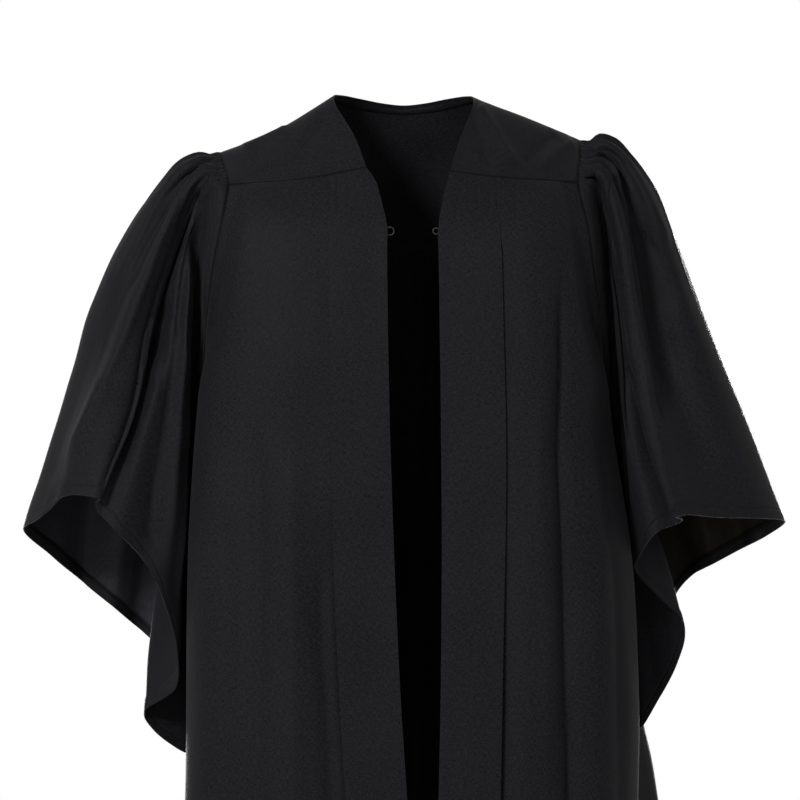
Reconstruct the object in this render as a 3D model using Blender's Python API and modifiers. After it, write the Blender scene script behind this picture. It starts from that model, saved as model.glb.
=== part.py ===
"""Graduation gown in matte black polyester, worn open at the front and hollow.

Metres, +Z up. The front faces -Y. The origin is at the middle of the neck, level with the two
points where the neck edge crosses the shoulders. Left and right are the wearer's own, so the
wearer's left is +X. Tables are in millimetres and MM turns them to metres.
"""

import math

import bmesh
import bpy
import numpy as np

MM = 0.001

# Driving dimensions, in millimetres
LENGTH = 1180            # neck point to hem
WALL = 1.5               # cloth with its turnings
SEAM = 0.6               # each piece stops this far short of its seam line
CAP_GATHERS = 7          # on the front of a sleeve cap, and as many on its back
CAP_GATHER_HEIGHT = 2.1
YOKE_GATHERS = 18        # along the back yoke seam
BACK_GATHER_HEIGHT = 2.2
BACK_FLUTES = 9          # folds at the hem of the back
FLUTE_TOP = 1.5          # how far a flute stands out below the yoke
FLUTE_HEM = 21.5         # and near the hem
PANEL_WIDTH = 140        # of a front panel, from the band line to the side fold
QUARTER = 0.52           # where the back's quarter lines run, as a share of its half width
HOOK_WIRE = 1.3          # diameter of the wire of the hook and eye
HOOK_SIZE = 8            # height of the hook's loop
EYE_SIZE = 6             # height of the eye's loop
FASTENING_Z = -138       # height of the hook and eye
FASTENING_GAP = 1.2      # clearance between the wire and the inside of the band

CLOTH_COLOUR = (0.016, 0.016, 0.018, 1.0)
METAL_COLOUR = (0.012, 0.012, 0.013, 1.0)

# The seam between body and sleeve, from the shoulder tip down the front to the underarm and up the
# back. right and left are the places of the seam on each side, and lead is the way the cloth runs
# outwards across it.
ARMHOLE = (
    # name              right (x, y, z)     left (x, y, z)     lead (out, y, z)
    ("shoulder tip",    (-183, 5, -54),     (176, 5, -42),     (0.93, 0.00, -0.37)),
    ("cap front",       (-179, -30, -71),   (174, -30, -64),   (0.91, -0.22, -0.35)),
    ("yoke corner",     (-173, -58, -90),   (171, -58, -88),   (0.92, -0.20, -0.34)),
    ("chest",           (-179, -66, -128),  (180, -66, -130),  (0.90, 0.35, -0.25)),
    ("mid front",       (-188, -62, -176),  (187, -62, -179),  (0.78, 0.60, -0.15)),
    ("low front",       (-195, -48, -238),  (195, -48, -242),  (0.66, 0.74, -0.10)),
    ("under front",     (-197, -22, -291),  (198, -22, -292),  (0.80, 0.52, -0.30)),
    ("underarm",        (-190, 12, -320),   (192, 12, -320),   (0.97, 0.00, -0.24)),
    ("under back",      (-190, 46, -300),   (190, 46, -300),   (0.80, -0.56, -0.22)),
    ("mid back",        (-187, 74, -250),   (188, 74, -250),   (0.62, -0.78, 0.00)),
    ("shoulder blade",  (-184, 91, -190),   (184, 91, -190),   (0.80, -0.60, 0.00)),
    ("back corner",     (-180, 90, -135),   (179, 90, -133),   (0.96, -0.10, -0.25)),
    ("cap back",        (-182, 52, -84),    (178, 52, -78),    (0.92, 0.16, -0.36)),
)
UNDERARM = 7             # row of ARMHOLE
YOKE_CORNER = 2
BACK_CORNER = 11

# The yoke from its front seam over the shoulder to the middle of the back.
YOKE_STATIONS = (
    # name             armhole  neck right         middle right        neck left         middle left
    ("front seam",     2.0,     (-37, -72, -74),   (-97, -72, -85),    (45, -74, -78),   (106, -73, -85)),
    ("collarbone",     1.4,     (-48, -45, -44),   (-112, -45, -59),   (54, -48, -48),   (113, -48, -57)),
    ("shoulder",       0.0,     (-71, 0, 0),       (-127, 3, -33),     (70, 0, -2),      (124, 3, -20)),
    ("behind",         12.0,    (-62, 42, 6),      (-122, 48, -38),    (62, 42, 5),      (121, 48, -32)),
    ("blade",          11.0,    (-42, 66, 4),      (-108, 83, -58),    (42, 66, 4),      (108, 83, -55)),
)
YOKE_BACK = (
    # name             neck              middle             back seam
    ("back quarter",   (22, 77, 1),      (55, 99, -66),     (92, 110, -136)),
    ("back middle",    (0, 80, -1),      (0, 104, -69),     (0, 118, -137)),
)

# Level sections of a front panel: the front edge, the line where the band ends, how far the cloth
# stands forward there, the outer fold and the side seam. The first rows end on the armhole.
FRONT_LEFT = (
    # z      edge x  band x  forward  fold x  fold y  side x  side y
    (-83,    45,     94,     -73,     158,    -61,    None,   None),
    (-128,   33.5,   93,     -100,    169,    -72,    None,   None),
    (-178,   34,     94,     -113,    179,    -68,    None,   None),
    (-240,   34.6,   95,     -122,    190,    -60,    None,   None),
    (-291,   35.4,   96,     -125,    201,    -55,    None,   None),
    (-320,   35.6,   96.5,   -126,    204,    -56,    None,   None),
    (-420,   36.5,   96,     -128,    220,    -58,    196,    14),
    (-560,   36,     91.5,   -131,    231,    -60,    204,    12),
    (-700,   33,     88.4,   -135,    230,    -62,    206,    12),
    (-940,   31,     82,     -142,    238,    -66,    214,    14),
    (-1180,  30,     76,     -150,    250,    -70,    226,    18),
)
FRONT_RIGHT = (
    # z      edge x  band x  forward  fold x  fold y  side x  side y
    (-84,    -37,    -75.5,  -72,     -160,   -61,    None,   None),
    (-128,   -17.5,  -74,    -100,    -169,   -72,    None,   None),
    (-176,   -16.6,  -73.2,  -113,    -180,   -68,    None,   None),
    (-238,   -15.8,  -72.5,  -122,    -190,   -60,    None,   None),
    (-291,   -14.8,  -71.7,  -125,    -201,   -55,    None,   None),
    (-320,   -14.2,  -71.2,  -126,    -204,   -56,    None,   None),
    (-420,   -11,    -69,    -128,    -211,   -58,    -188,   14),
    (-560,   -5.5,   -60.5,  -131,    -214,   -60,    -190,   14),
    (-700,   3.5,    -51.5,  -135,    -216,   -62,    -194,   14),
    (-940,   9,      -42,    -142,    -232,   -66,    -206,   16),
    (-1180,  12,     -34,    -150,    -250,   -70,    -220,   18),
)
# Extra sections of the curved top of the front edge, between the yoke and the straight edge
NECK_CURVE_LEFT = ((-78, 45, -74), (-102, 38.8, -90), (-133, 33, -104))
NECK_CURVE_RIGHT = ((-74, -37, -72), (-89, -27.4, -82), (-114, -20.5, -95), (-134, -16.6, -104))

# The band stands on the panel's edge: how far the panel's edge drops behind it, and how far the
# band reaches over it.
BAND_STEP = (
    # z      step  lap
    (-84,    0.0,  0.0),
    (-110,   0.6,  0.0),
    (-150,   2.6,  1.0),
    (-430,   3.2,  2.0),
    (-600,   6.0,  4.0),
    (-1180,  7.0,  5.0),
)
STEP_WIDTH = 16          # how far into the panel its edge is pressed back

# Level sections of the back, from the yoke's back seam to the hem
BACK_SECTIONS = (
    # z      fold right (x, y)   fold left (x, y)   quarter y  middle y
    (-136,   (-168, 95),         (167, 95),         111,       118),
    (-190,   (-179, 102),        (179, 102),        124,       130),
    (-250,   (-187, 96),         (188, 96),         131,       138),
    (-300,   (-193, 84),         (194, 84),         134,       142),
    (-320,   (-195, 80),         (196, 80),         135,       143),
    (-420,   (-198, 80),         (210, 80),         138,       147),
    (-560,   (-203, 84),         (228, 84),         144,       155),
    (-700,   (-214, 92),         (256, 92),         153,       166),
    (-940,   (-256, 110),        (280, 110),        172,       188),
    (-1180,  (-296, 128),        (306, 128),        192,       212),
)

# Soft standing folds of the front panels: deep is how far the cloth falls back along the fold.
FRONT_FOLDS = (
    # side     across  across at hem  from z  to z    deep  half width
    ("left",   0.60,   0.62,          -170,   -1300,  7.0,  17),
    ("left",   0.28,   0.24,          -330,   -1300,  3.0,  15),
    ("left",   0.86,   0.80,          -420,   -1300,  5.0,  14),
    ("right",  0.50,   0.46,          -240,   -1300,  3.5,  20),
    ("right",  0.80,   0.74,          -420,   -1300,  5.0,  16),
    ("right",  0.20,   0.24,          -620,   -1300,  5.0,  15),
)

# Folds of a sleeve, in order round the armhole. at is the place on the armhole, as a row of
# ARMHOLE, and the other columns are where the fold's line is from the cap to the hem.
RIGHT_SLEEVE = (
    # fold             at     cap                 upper arm           elbow
    #                         forearm             hem
    ("outer ridge",    0.0,   (-207, 5, -57),     (-252, 5, -98),     (-300, 0, -178),
                              (-344, 0, -314),    (-380, 0, -431)),
    ("upper fold",     0.5,   (-197, -18, -65),   (-239, -24, -102),  (-279, -32, -171),
                              (-321, -40, -307),  (-360, -38, -418)),
    ("upper hollow",   0.85,  (-198, -22, -70),   (-229, -28, -107),  (-270, -42, -189),
                              (-311, -54, -305),  (-349, -50, -409)),
    ("front ridge",    1.15,  (-197, -36, -76),   (-227, -50, -119),  (-261, -64, -208),
                              (-299, -76, -304),  (-336, -66, -397)),
    ("crease edge",    1.45,  (-195, -44, -83),   (-220, -48, -130),  (-248, -60, -216),
                              (-262, -76, -304),  (-297, -88, -398)),
    ("crease tuck",    1.65,  (-194, -36, -88),   (-217, -26, -135),  (-245, -30, -221),
                              (-268, -40, -312),  (-302, -58, -406)),
    ("inner crest",    1.95,  (-192, -46, -96),   (-214, -42, -144),  (-224, -56, -225),
                              (-234, -66, -317),  (-256, -64, -459)),
    ("inner hollow",   2.2,   (-191, -46, -106),  (-208, -28, -150),  (-216, -42, -232),
                              (-220, -42, -332),  (-230, -46, -512)),
    ("arm valley",     2.8,   (-189, -53, -127),  (-203, -27, -172),  (-211, -33, -225),
                              (-215, -36, -360),  (-221, -36, -585)),
    ("valley side",    3.8,   (-196, -47, -174),  (-204, -24, -203),  (-211, -26, -257),
                              (-214, -28, -390),  (-231, -26, -593)),
    ("tuck side",      4.7,   (-201, -38, -226),  (-206, -21, -248),  (-211, -19, -318),
                              (-220, -18, -420),  (-242, -16, -601)),
    ("tuck front",     5.4,   (-204, -24, -268),  (-208, -15, -286),  (-213, -12, -350),
                              (-233, -8, -450),   (-253, -7, -607)),
    ("tuck edge",      6.0,   (-205, -10, -296),  (-209, -3, -320),   (-222, 3, -398),
                              (-252, 3, -477),    (-265, 3, -614)),
    ("underarm",       7.0,   (-203, 14, -338),   (-205, 20, -378),   (-205, 24, -448),
                              (-212, 28, -544),   (-216, 32, -662)),
    ("back lower",     8.4,   (-196, 58, -296),   (-204, 72, -343),   (-216, 82, -415),
                              (-229, 90, -497),   (-238, 92, -567)),
    ("back crest",     9.8,   (-198, 91, -212),   (-212, 104, -263),  (-233, 110, -345),
                              (-257, 114, -441),  (-272, 114, -539)),
    ("back hollow",    11.0,  (-198, 92, -148),   (-220, 92, -189),   (-250, 86, -276),
                              (-281, 88, -384),   (-299, 88, -513)),
    ("back ridge",     11.7,  (-200, 74, -108),   (-235, 96, -136),   (-274, 104, -220),
                              (-313, 104, -343),  (-331, 98, -488)),
    ("back upper",     12.4,  (-201, 42, -74),    (-242, 58, -113),   (-285, 58, -200),
                              (-329, 54, -322),   (-357, 48, -460)),
)
LEFT_SLEEVE = (
    # fold             at     cap                 upper arm           elbow
    #                         forearm             hem
    ("outer ridge",    0.0,   (196, 8, -38),      (239, 8, -71),      (280, 4, -167),
                              (334, 0, -305),     (381, 0, -423)),
    ("upper fold",     0.5,   (199, -14, -50),    (233, -22, -85),    (268, -30, -173),
                              (317, -36, -310),   (358, -36, -419)),
    ("upper hollow",   0.85,  (197, -22, -60),    (224, -28, -114),   (244, -36, -221),
                              (276, -52, -327),   (306, -62, -417)),
    ("front ridge",    1.15,  (193, -36, -67),    (214, -54, -119),   (231, -66, -222),
                              (250, -78, -326),   (275, -84, -414)),
    ("crease edge",    1.45,  (190, -44, -74),    (209, -50, -127),   (223, -64, -225),
                              (237, -78, -334),   (266, -92, -415)),
    ("crease tuck",    1.65,  (188, -38, -81),    (207, -41, -131),   (220, -54, -233),
                              (240, -52, -343),   (271, -64, -422)),
    ("inner crest",    1.95,  (187, -44, -89),    (204, -36, -138),   (217, -46, -235),
                              (225, -54, -343),   (247, -66, -432)),
    ("inner hollow",   2.2,   (187, -46, -102),   (200, -29, -146),   (213, -39, -237),
                              (219, -44, -347),   (231, -48, -458)),
    ("arm valley",     2.8,   (190, -53, -129),   (200, -27, -172),   (210, -32, -225),
                              (215, -36, -350),   (225, -34, -467)),
    ("valley side",    3.8,   (196, -47, -176),   (203, -24, -203),   (210, -26, -255),
                              (219, -28, -370),   (239, -26, -484)),
    ("tuck side",      4.7,   (201, -38, -228),   (205, -21, -248),   (211, -19, -318),
                              (229, -18, -390),   (255, -16, -500)),
    ("tuck front",     5.4,   (203, -24, -268),   (208, -14, -289),   (213, -12, -350),
                              (244, -8, -415),    (271, -7, -515)),
    ("tuck edge",      6.0,   (205, -10, -297),   (209, -3, -320),    (231, 3, -390),
                              (260, 3, -447),     (287, 3, -529)),
    ("tuck return",    6.5,   (205, 2, -323),     (209, 9, -358),     (222, 13, -424),
                              (245, 14, -503),    (272, 14, -579)),
    ("underarm",       7.0,   (205, 14, -338),    (209, 19, -378),    (211, 20, -448),
                              (225, 20, -533),    (233, 18, -638)),
    ("back lower",     8.4,   (198, 58, -296),    (208, 72, -343),    (223, 80, -404),
                              (242, 82, -476),    (258, 78, -541)),
    ("back crest",     9.8,   (200, 91, -212),    (216, 104, -261),   (239, 110, -333),
                              (264, 112, -405),   (295, 108, -484)),
    ("back hollow",    11.0,  (199, 92, -146),    (223, 92, -184),    (252, 86, -261),
                              (285, 86, -353),    (318, 84, -469)),
    ("back ridge",     11.7,  (201, 74, -98),     (241, 96, -123),    (272, 102, -220),
                              (311, 100, -333),   (347, 90, -454)),
    ("back upper",     12.4,  (200, 42, -58),     (245, 58, -95),     (281, 58, -190),
                              (325, 54, -317),    (367, 48, -440)),
)
LEAD = 7                 # length of sleeve that runs on in line with the body cloth
UNDERARM_EASE = 1.6      # extra clearance where three pieces meet at the underarm
INNER_SOFTENING = 2      # rounds of smoothing where the sleeve turns in beside the body
SLEEVE_LEVELS = (0.0, 0.035, 0.13, 0.32, 0.55, 0.79, 1.0)   # seam, lead, then the table's columns

# Where each mesh is cut into rows and columns
SLEEVE_ROWS = (0, 0.035, 0.07, 0.12, 0.18, 0.26, 0.36, 0.48, 0.60, 0.72, 0.83, 0.92, 1.0)
SLEEVE_COLUMNS = ((0, 2, 26), (2, 7, 15), (7, 11, 8), (11, 13, 26))     # from, to, how many
FRONT_COLUMNS = 13
FRONT_ROWS = tuple(step / 3 for step in range(16)) + (5.5, 6, 6.6, 7.3, 8, 9, 10)
BACK_COLUMNS = 65
BACK_ROWS = tuple(step / 2 for step in range(9)) + (5, 6, 7, 8, 9)
YOKE_ROWS = 6
YOKE_COLUMNS = (4, 6, 8, 8, 3, 3)        # between one station and the next, front to middle back


def curve(points, at, closed=False):
    """Points on a smooth curve through points; at is 0 on the first, 1 on the second and so on."""
    points = np.asarray(points, float)
    if closed:
        points = np.vstack([points, points[:1]])
    chord = np.maximum(np.linalg.norm(np.diff(points, axis=0), axis=1), 1e-6)[:, None]
    slope = np.diff(points, axis=0) / chord
    inner = (slope[:-1] * chord[1:] + slope[1:] * chord[:-1]) / (chord[1:] + chord[:-1])
    first, last = slope[:1], slope[-1:]
    if closed:
        first = last = (slope[-1:] * chord[:1] + slope[:1] * chord[-1:]) / (chord[:1] + chord[-1:])
    tangent = np.vstack([first, inner, last])
    at = np.asarray(at, float)
    start = np.clip(np.floor(at).astype(int), 0, len(chord) - 1)
    t = (at - start)[:, None]
    reach = chord[start]
    return ((2 * t**3 - 3 * t**2 + 1) * points[start]
            + (t**3 - 2 * t**2 + t) * reach * tangent[start]
            + (3 * t**2 - 2 * t**3) * points[start + 1]
            + (t**3 - t**2) * reach * tangent[start + 1])


def lattice(lines, down, across, closed=False):
    """A grid of points on the smooth surface through lines, each a list of points from top to hem."""
    ribs = [curve(line, down) for line in lines]
    rows = np.stack(ribs, axis=1)
    return np.stack([curve(row, across, closed) for row in rows])


def facing(grid, closed=False):
    """Unit normals of a grid of points, across then down."""
    if closed:
        wide = np.concatenate([grid[:, -1:], grid, grid[:, :1]], axis=1)
        across = (wide[:, 2:] - wide[:, :-2])
    else:
        across = np.gradient(grid, axis=1)
    down = np.gradient(grid, axis=0)
    normal = np.cross(down, across)
    return normal / np.maximum(np.linalg.norm(normal, axis=2, keepdims=True), 1e-9)


def ease(value, low, high):
    """0 below low, 1 above high, smooth between."""
    t = np.clip((value - low) / (high - low), 0, 1)
    return t * t * (3 - 2 * t)


def table_column(rows, index, at):
    """A table's column read between its rows, where the first column runs downwards."""
    depth = [-row[0] for row in rows]
    return np.interp(-np.asarray(at, float), depth, [row[index] for row in rows])


def stop_short(grid, edge, gap=SEAM):
    """Draw one edge of a grid back along the cloth, so that it stops short of the seam."""
    inner = {"top": (0, slice(None)), "first": (slice(None), 0), "last": (slice(None), -1)}[edge]
    beside = {"top": (1, slice(None)), "first": (slice(None), 1), "last": (slice(None), -2)}[edge]
    away = grid[beside] - grid[inner]
    grid[inner] = grid[inner] + gap * away / np.linalg.norm(away, axis=1, keepdims=True)


def armhole(side, at):
    """Points on the armhole seam of one side; at counts rows of ARMHOLE."""
    column = 1 if side == "right" else 2
    return curve([row[column] for row in ARMHOLE], np.mod(at, len(ARMHOLE)), closed=True)


def armhole_lead(side, at):
    """The way the cloth crosses the armhole seam, outwards."""
    way = curve([row[3] for row in ARMHOLE], np.mod(at, len(ARMHOLE)), closed=True)
    way = way * np.array([-1 if side == "right" else 1, 1, 1])
    return way / np.linalg.norm(way, axis=1, keepdims=True)


def side_edge(side, index, down):
    """The edge of a body panel: the armhole down to the underarm, then the side seam to the hem.

    index counts the rows of a panel's sections and down gives the armhole's row for index 0."""
    rows = FRONT_RIGHT if side == "right" else FRONT_LEFT
    index = np.asarray(index, float)
    under = abs(UNDERARM - down)
    arm = armhole(side, down + np.sign(UNDERARM - down) * np.minimum(index, under))
    seam = [armhole(side, [UNDERARM])[0]]
    seam += [(row[6], row[7], row[0]) for row in rows if row[6] is not None]
    straight = curve(seam, np.maximum(index - under, 0))
    return np.where((index <= under)[:, None], arm, straight)


def at_x(points, x):
    """Points on the smooth curve through points, at the given x."""
    fine = curve(points, np.linspace(0, len(points) - 1, 201))
    if fine[0][0] > fine[-1][0]:
        fine = fine[::-1]
    return np.stack([x, np.interp(x, fine[:, 0], fine[:, 1]), np.interp(x, fine[:, 0], fine[:, 2])], axis=1)


def back_seam(x):
    """Points of the seam between yoke and back, at the given x."""
    quarter, middle = YOKE_BACK[0][3], YOKE_BACK[1][3]
    corners = [armhole(side, [BACK_CORNER])[0] for side in ("right", "left")]
    return at_x([corners[0], (-quarter[0], quarter[1], quarter[2]), middle, quarter, corners[1]], x)


def front_seam(side, x):
    """Points of the seam between yoke and front, at the given x."""
    station = YOKE_STATIONS[0]
    neck, middle = station[2:4] if side == "right" else station[4:6]
    return at_x([neck, middle, armhole(side, [YOKE_CORNER])[0]], x)


def yoke_grid():
    """The yoke from the right front seam, over the shoulders and round the back, to the left one."""
    right, left = [], []
    for _, at, neck_right, middle_right, neck_left, middle_left in YOKE_STATIONS:
        right.append((neck_right, middle_right, armhole("right", [at])[0]))
        left.append((neck_left, middle_left, armhole("left", [at])[0]))
    quarter, middle = YOKE_BACK[0][1:], YOKE_BACK[1][1:]
    mirrored = [tuple(np.array(point) * (-1, 1, 1)) for point in quarter]
    lines = right + [mirrored, middle, quarter] + left[::-1]
    half = np.concatenate([index + np.arange(count) / count for index, count in enumerate(YOKE_COLUMNS)])
    across = np.concatenate([half, [len(YOKE_COLUMNS)], 2 * len(YOKE_COLUMNS) - half[::-1]])
    grid = lattice(lines, np.linspace(0, 2, YOKE_ROWS), across)
    places = [row[1] - len(ARMHOLE) * (row[1] > BACK_CORNER - 1) for row in YOKE_STATIONS]
    ends = len(places) - 1
    for index, column in enumerate(across):
        near = min(column, 2 * len(YOKE_COLUMNS) - column)
        side = "right" if column < len(YOKE_COLUMNS) else "left"
        if near <= ends:
            grid[-1, index] = armhole(side, [np.interp(near, range(ends + 1), places)])[0]
        else:
            grid[-1, index] = back_seam(grid[-1, index, :1])[0]
    grid[:, 0] = front_seam("right", grid[:, 0, 0])
    grid[:, -1] = front_seam("left", grid[:, -1, 0])
    stop_short(grid, "first")
    stop_short(grid, "last")
    stop_short(grid[::-1], "top")
    return grid


def front_edge(side, z):
    """Front edge of one side at height z: its x and how far forward it stands."""
    rows = FRONT_RIGHT if side == "right" else FRONT_LEFT
    neck = NECK_CURVE_RIGHT if side == "right" else NECK_CURVE_LEFT
    straight = [(row[0], row[1], row[3]) for row in rows if row[0] < neck[-1][0] - 20]
    stations = np.array(list(neck) + straight, float)
    return np.interp(-z, -stations[:, 0], stations[:, 1]), np.interp(-z, -stations[:, 0], stations[:, 2])


def front_section(side, row, index):
    """Points of one level section of a front panel, from the band line to the side seam."""
    z, edge_x, band_x, forward, fold_x, fold_y, side_x, side_y = row
    if side_x is None:
        last = armhole(side, [index + YOKE_CORNER])[0]
    else:
        last = np.array([side_x, side_y, z], float)
    points = []
    for share in (0.0, 0.3, 0.6, 0.85):
        turn = share ** 2.4
        y = forward + (fold_y - forward) * (1 - math.sqrt(max(0.0, 1 - turn * 0.96)))
        height = z + (last[2] - z) * share if index == 0 else z
        points.append((band_x + (fold_x - band_x) * share, y, height))
    fold = np.array([fold_x, fold_y, z + (last[2] - z) * 0.9 if index == 0 else z])
    turned = fold * 0.45 + last * 0.55
    points += [tuple(fold), tuple(turned), tuple(last)]
    return points


def fold_depth(side, share, z):
    """How far the front panel's soft folds fall back at one place."""
    depth = np.zeros_like(z)
    for fold_side, top, hem, start, end, deep, half in FRONT_FOLDS:
        if fold_side != side:
            continue
        run = np.clip((start - z) / (start - end), 0, 1)
        centre = top + (hem - top) * run
        near = np.exp(-((share - centre) * PANEL_WIDTH / half) ** 2)
        depth += deep * near * ease(start - z, 0, 160)
    return depth


def front_grid(side):
    """A front panel from the band line to the armhole and side seam."""
    rows = FRONT_RIGHT if side == "right" else FRONT_LEFT
    sections = [front_section(side, row, index) for index, row in enumerate(rows)]
    lines = [list(line) for line in zip(*sections)]
    across = np.linspace(0, len(lines) - 1, FRONT_COLUMNS)
    grid = lattice(lines, FRONT_ROWS, across)
    away = np.abs(grid[:, :, 0] - grid[:, :1, 0])
    z = grid[:, :, 2]
    step = table_column(BAND_STEP, 1, z)
    grid[:, :, 1] += step * np.exp(-(away / STEP_WIDTH) ** 2)
    share = np.broadcast_to(across / (len(lines) - 1), z.shape)
    grid[:, :, 1] += fold_depth(side, share, z) * ease(away, 0, STEP_WIDTH)
    grid[0] = front_seam(side, grid[0, :, 0])
    grid[:, -1] = side_edge(side, FRONT_ROWS, YOKE_CORNER)
    stop_short(grid, "top")
    stop_short(grid, "first")
    stop_short(grid, "last")
    return grid


def band_grid(side):
    """A front band from the front edge to just over the panel's edge."""
    rows = FRONT_RIGHT if side == "right" else FRONT_LEFT
    neck = NECK_CURVE_RIGHT if side == "right" else NECK_CURVE_LEFT
    sign = -1 if side == "right" else 1
    line = [(row[2], row[3], row[0]) for row in rows]
    outer = curve(line, FRONT_ROWS)
    top = neck[0]
    grid = []
    for index, (x, y, z) in enumerate(outer):
        z_edge = top[0] + (z - outer[0][2]) * (-LENGTH - top[0]) / (-LENGTH - outer[0][2])
        edge_x, edge_y = front_edge(side, z_edge)
        lap = float(table_column(BAND_STEP, 2, z))
        end = np.array([x + sign * lap, y, z])
        start = np.array([edge_x, edge_y, z_edge])
        grid.append([start + (end - start) * share for share in (0, 0.3, 0.65, 1)])
    grid = np.array(grid)
    grid[0] = front_seam(side, grid[0, :, 0])
    stop_short(grid, "top")
    stop_short(grid, "last")
    return grid


def back_grid():
    """The back panel from the right side seam to the left one, gathered under the yoke."""
    sections = []
    for index, (z, right, left, quarter_y, middle_y) in enumerate(BACK_SECTIONS):
        place = BACK_CORNER - index
        if place >= UNDERARM:
            ends = [armhole(side, [place])[0] for side in ("right", "left")]
        else:
            ends = []
            for rows in (FRONT_RIGHT, FRONT_LEFT):
                row = rows[index + 1]
                ends.append(np.array([row[6], row[7], row[0]], float))
        drop = [end[2] - z for end in ends]
        fold_right = (right[0], right[1], z + drop[0] * 0.8)
        fold_left = (left[0], left[1], z + drop[1] * 0.8)
        turned = [np.array(fold) * 0.5 + end * 0.5 for fold, end in zip((fold_right, fold_left), ends)]
        middle = [(right[0] * QUARTER, quarter_y, z), (0, middle_y, z), (left[0] * QUARTER, quarter_y, z)]
        sections.append([ends[0], turned[0], fold_right, *middle, fold_left, turned[1], ends[1]])
    lines = [list(line) for line in zip(*sections)]
    across = back_columns(len(lines) - 1)
    grid = lattice(lines, BACK_ROWS, across)
    share = across_share(grid)
    top = BACK_SECTIONS[0][0]
    down = (top - grid[:, :, 2]) / (top + LENGTH)
    gathers = BACK_GATHER_HEIGHT * np.sin(2 * math.pi * YOKE_GATHERS * share)
    gathers *= ease(down, 0.0, 0.035) * (1 - ease(down, 0.05, 0.32))
    flutes = np.sin(2 * math.pi * BACK_FLUTES * share + 0.9 * np.sin(2 * math.pi * share * 2))
    flutes *= FLUTE_TOP + (FLUTE_HEM - FLUTE_TOP) * ease(down, 0.08, 1.1)
    flutes *= ease(down, 0.02, 0.2)
    edge = ease(share, 0.02, 0.12) * (1 - ease(share, 0.88, 0.98))
    grid += facing(grid) * ((gathers + flutes) * edge)[:, :, None]
    grid[0] = back_seam(grid[0, :, 0])
    grid[:, 0] = side_edge("right", BACK_ROWS, BACK_CORNER)
    grid[:, -1] = side_edge("left", BACK_ROWS, BACK_CORNER)
    stop_short(grid, "top")
    stop_short(grid, "first")
    stop_short(grid, "last")
    return grid


def back_columns(spans):
    """Places across the back, closest where the yoke gathers it."""
    inner = np.linspace(2, spans - 2, BACK_COLUMNS - 8)
    return np.concatenate([np.linspace(0, 2, 5)[:-1], inner, np.linspace(spans - 2, spans, 5)[1:]])


def across_share(grid):
    """Distance across the cloth, 0 at one side and 1 at the other, taken at the top row."""
    step = np.linalg.norm(np.diff(grid[0], axis=0), axis=1)
    share = np.concatenate([[0], np.cumsum(step)])
    return np.broadcast_to(share / share[-1], grid.shape[:2])


def sleeve_grid(side):
    """A bell sleeve, closed round, from the armhole to its hem."""
    table = RIGHT_SLEEVE if side == "right" else LEFT_SLEEVE
    places = [row[1] for row in table]
    seam = armhole(side, places)
    lead = seam + LEAD * armhole_lead(side, places)
    lines = [[seam[index], lead[index]] + list(row[2:]) for index, row in enumerate(table)]
    columns = np.concatenate([np.linspace(start, end, count, endpoint=False)
                              for start, end, count in SLEEVE_COLUMNS])
    across = np.interp(columns, places + [len(ARMHOLE)], range(len(places) + 1))
    down = np.interp(SLEEVE_ROWS, SLEEVE_LEVELS, range(len(SLEEVE_LEVELS)))
    grid = lattice(lines, down, across, closed=True)
    grid[0] = armhole(side, columns)
    grid[1] = grid[0] + LEAD * armhole_lead(side, columns)
    for _ in range(INNER_SOFTENING):
        soft = (np.roll(grid, 1, axis=1) + 2 * grid + np.roll(grid, -1, axis=1)) / 4
        inner = ease(columns, 2.0, 2.6) * (1 - ease(columns, 6.6, 7.2))
        grid[2:] += (soft - grid)[2:] * inner[None, :, None]
    outward = facing(grid, closed=True) * (-1 if side == "right" else 1)
    grid += outward * (cap_gathers(columns, np.array(SLEEVE_ROWS)))[:, :, None]
    away = grid[1] - grid[0]
    gap = SEAM + UNDERARM_EASE * (1 - ease(np.abs(columns - UNDERARM), 0.4, 2.5))
    grid[0] += gap[:, None] * away / np.linalg.norm(away, axis=1, keepdims=True)
    return grid


def cap_gathers(columns, down):
    """Height of the small gathers on the cap, strongest just below the yoke."""
    place = np.where(columns > BACK_CORNER, columns - len(ARMHOLE), columns)
    wave = np.sin(math.pi * CAP_GATHERS * place + 0.5 * math.pi)
    cap = (1 - ease(np.abs(place), 1.75, 2.15))
    fade = ease(down, 0.03, 0.08) * (1 - ease(down, 0.1, 0.42))
    return CAP_GATHER_HEIGHT * fade[:, None] * (wave * cap)[None, :]


def material(name, colour, roughness):
    """A plain surface with one colour and roughness."""
    made = bpy.data.materials.new(name)
    made.use_nodes = True
    shader = made.node_tree.nodes["Principled BSDF"]
    shader.inputs["Base Color"].default_value = colour
    shader.inputs["Roughness"].default_value = roughness
    return made


def cloth(name, grid, finish, collection, closed=False):
    """A sheet of cloth: a flat grid moved to the given points, then thickened both ways."""
    rows, columns = grid.shape[:2]
    sheet = bmesh.new()
    wide = columns if closed else columns - 1
    bmesh.ops.create_grid(sheet, x_segments=wide, y_segments=rows - 1, size=1)
    for vertex in sheet.verts:
        column = round((vertex.co.x + 1) / 2 * wide)
        row = round((1 - vertex.co.y) / 2 * (rows - 1))
        vertex.co = [value * MM for value in grid[row, column % columns]]
    bmesh.ops.remove_doubles(sheet, verts=sheet.verts, dist=1e-6)
    mesh = bpy.data.meshes.new(name)
    sheet.to_mesh(mesh)
    sheet.free()
    mesh.shade_smooth()
    mesh.materials.append(finish)
    piece = bpy.data.objects.new(name, mesh)
    collection.objects.link(piece)
    wall = piece.modifiers.new("Wall", "SOLIDIFY")
    wall.thickness = WALL * MM
    wall.offset = 0
    return piece


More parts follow.
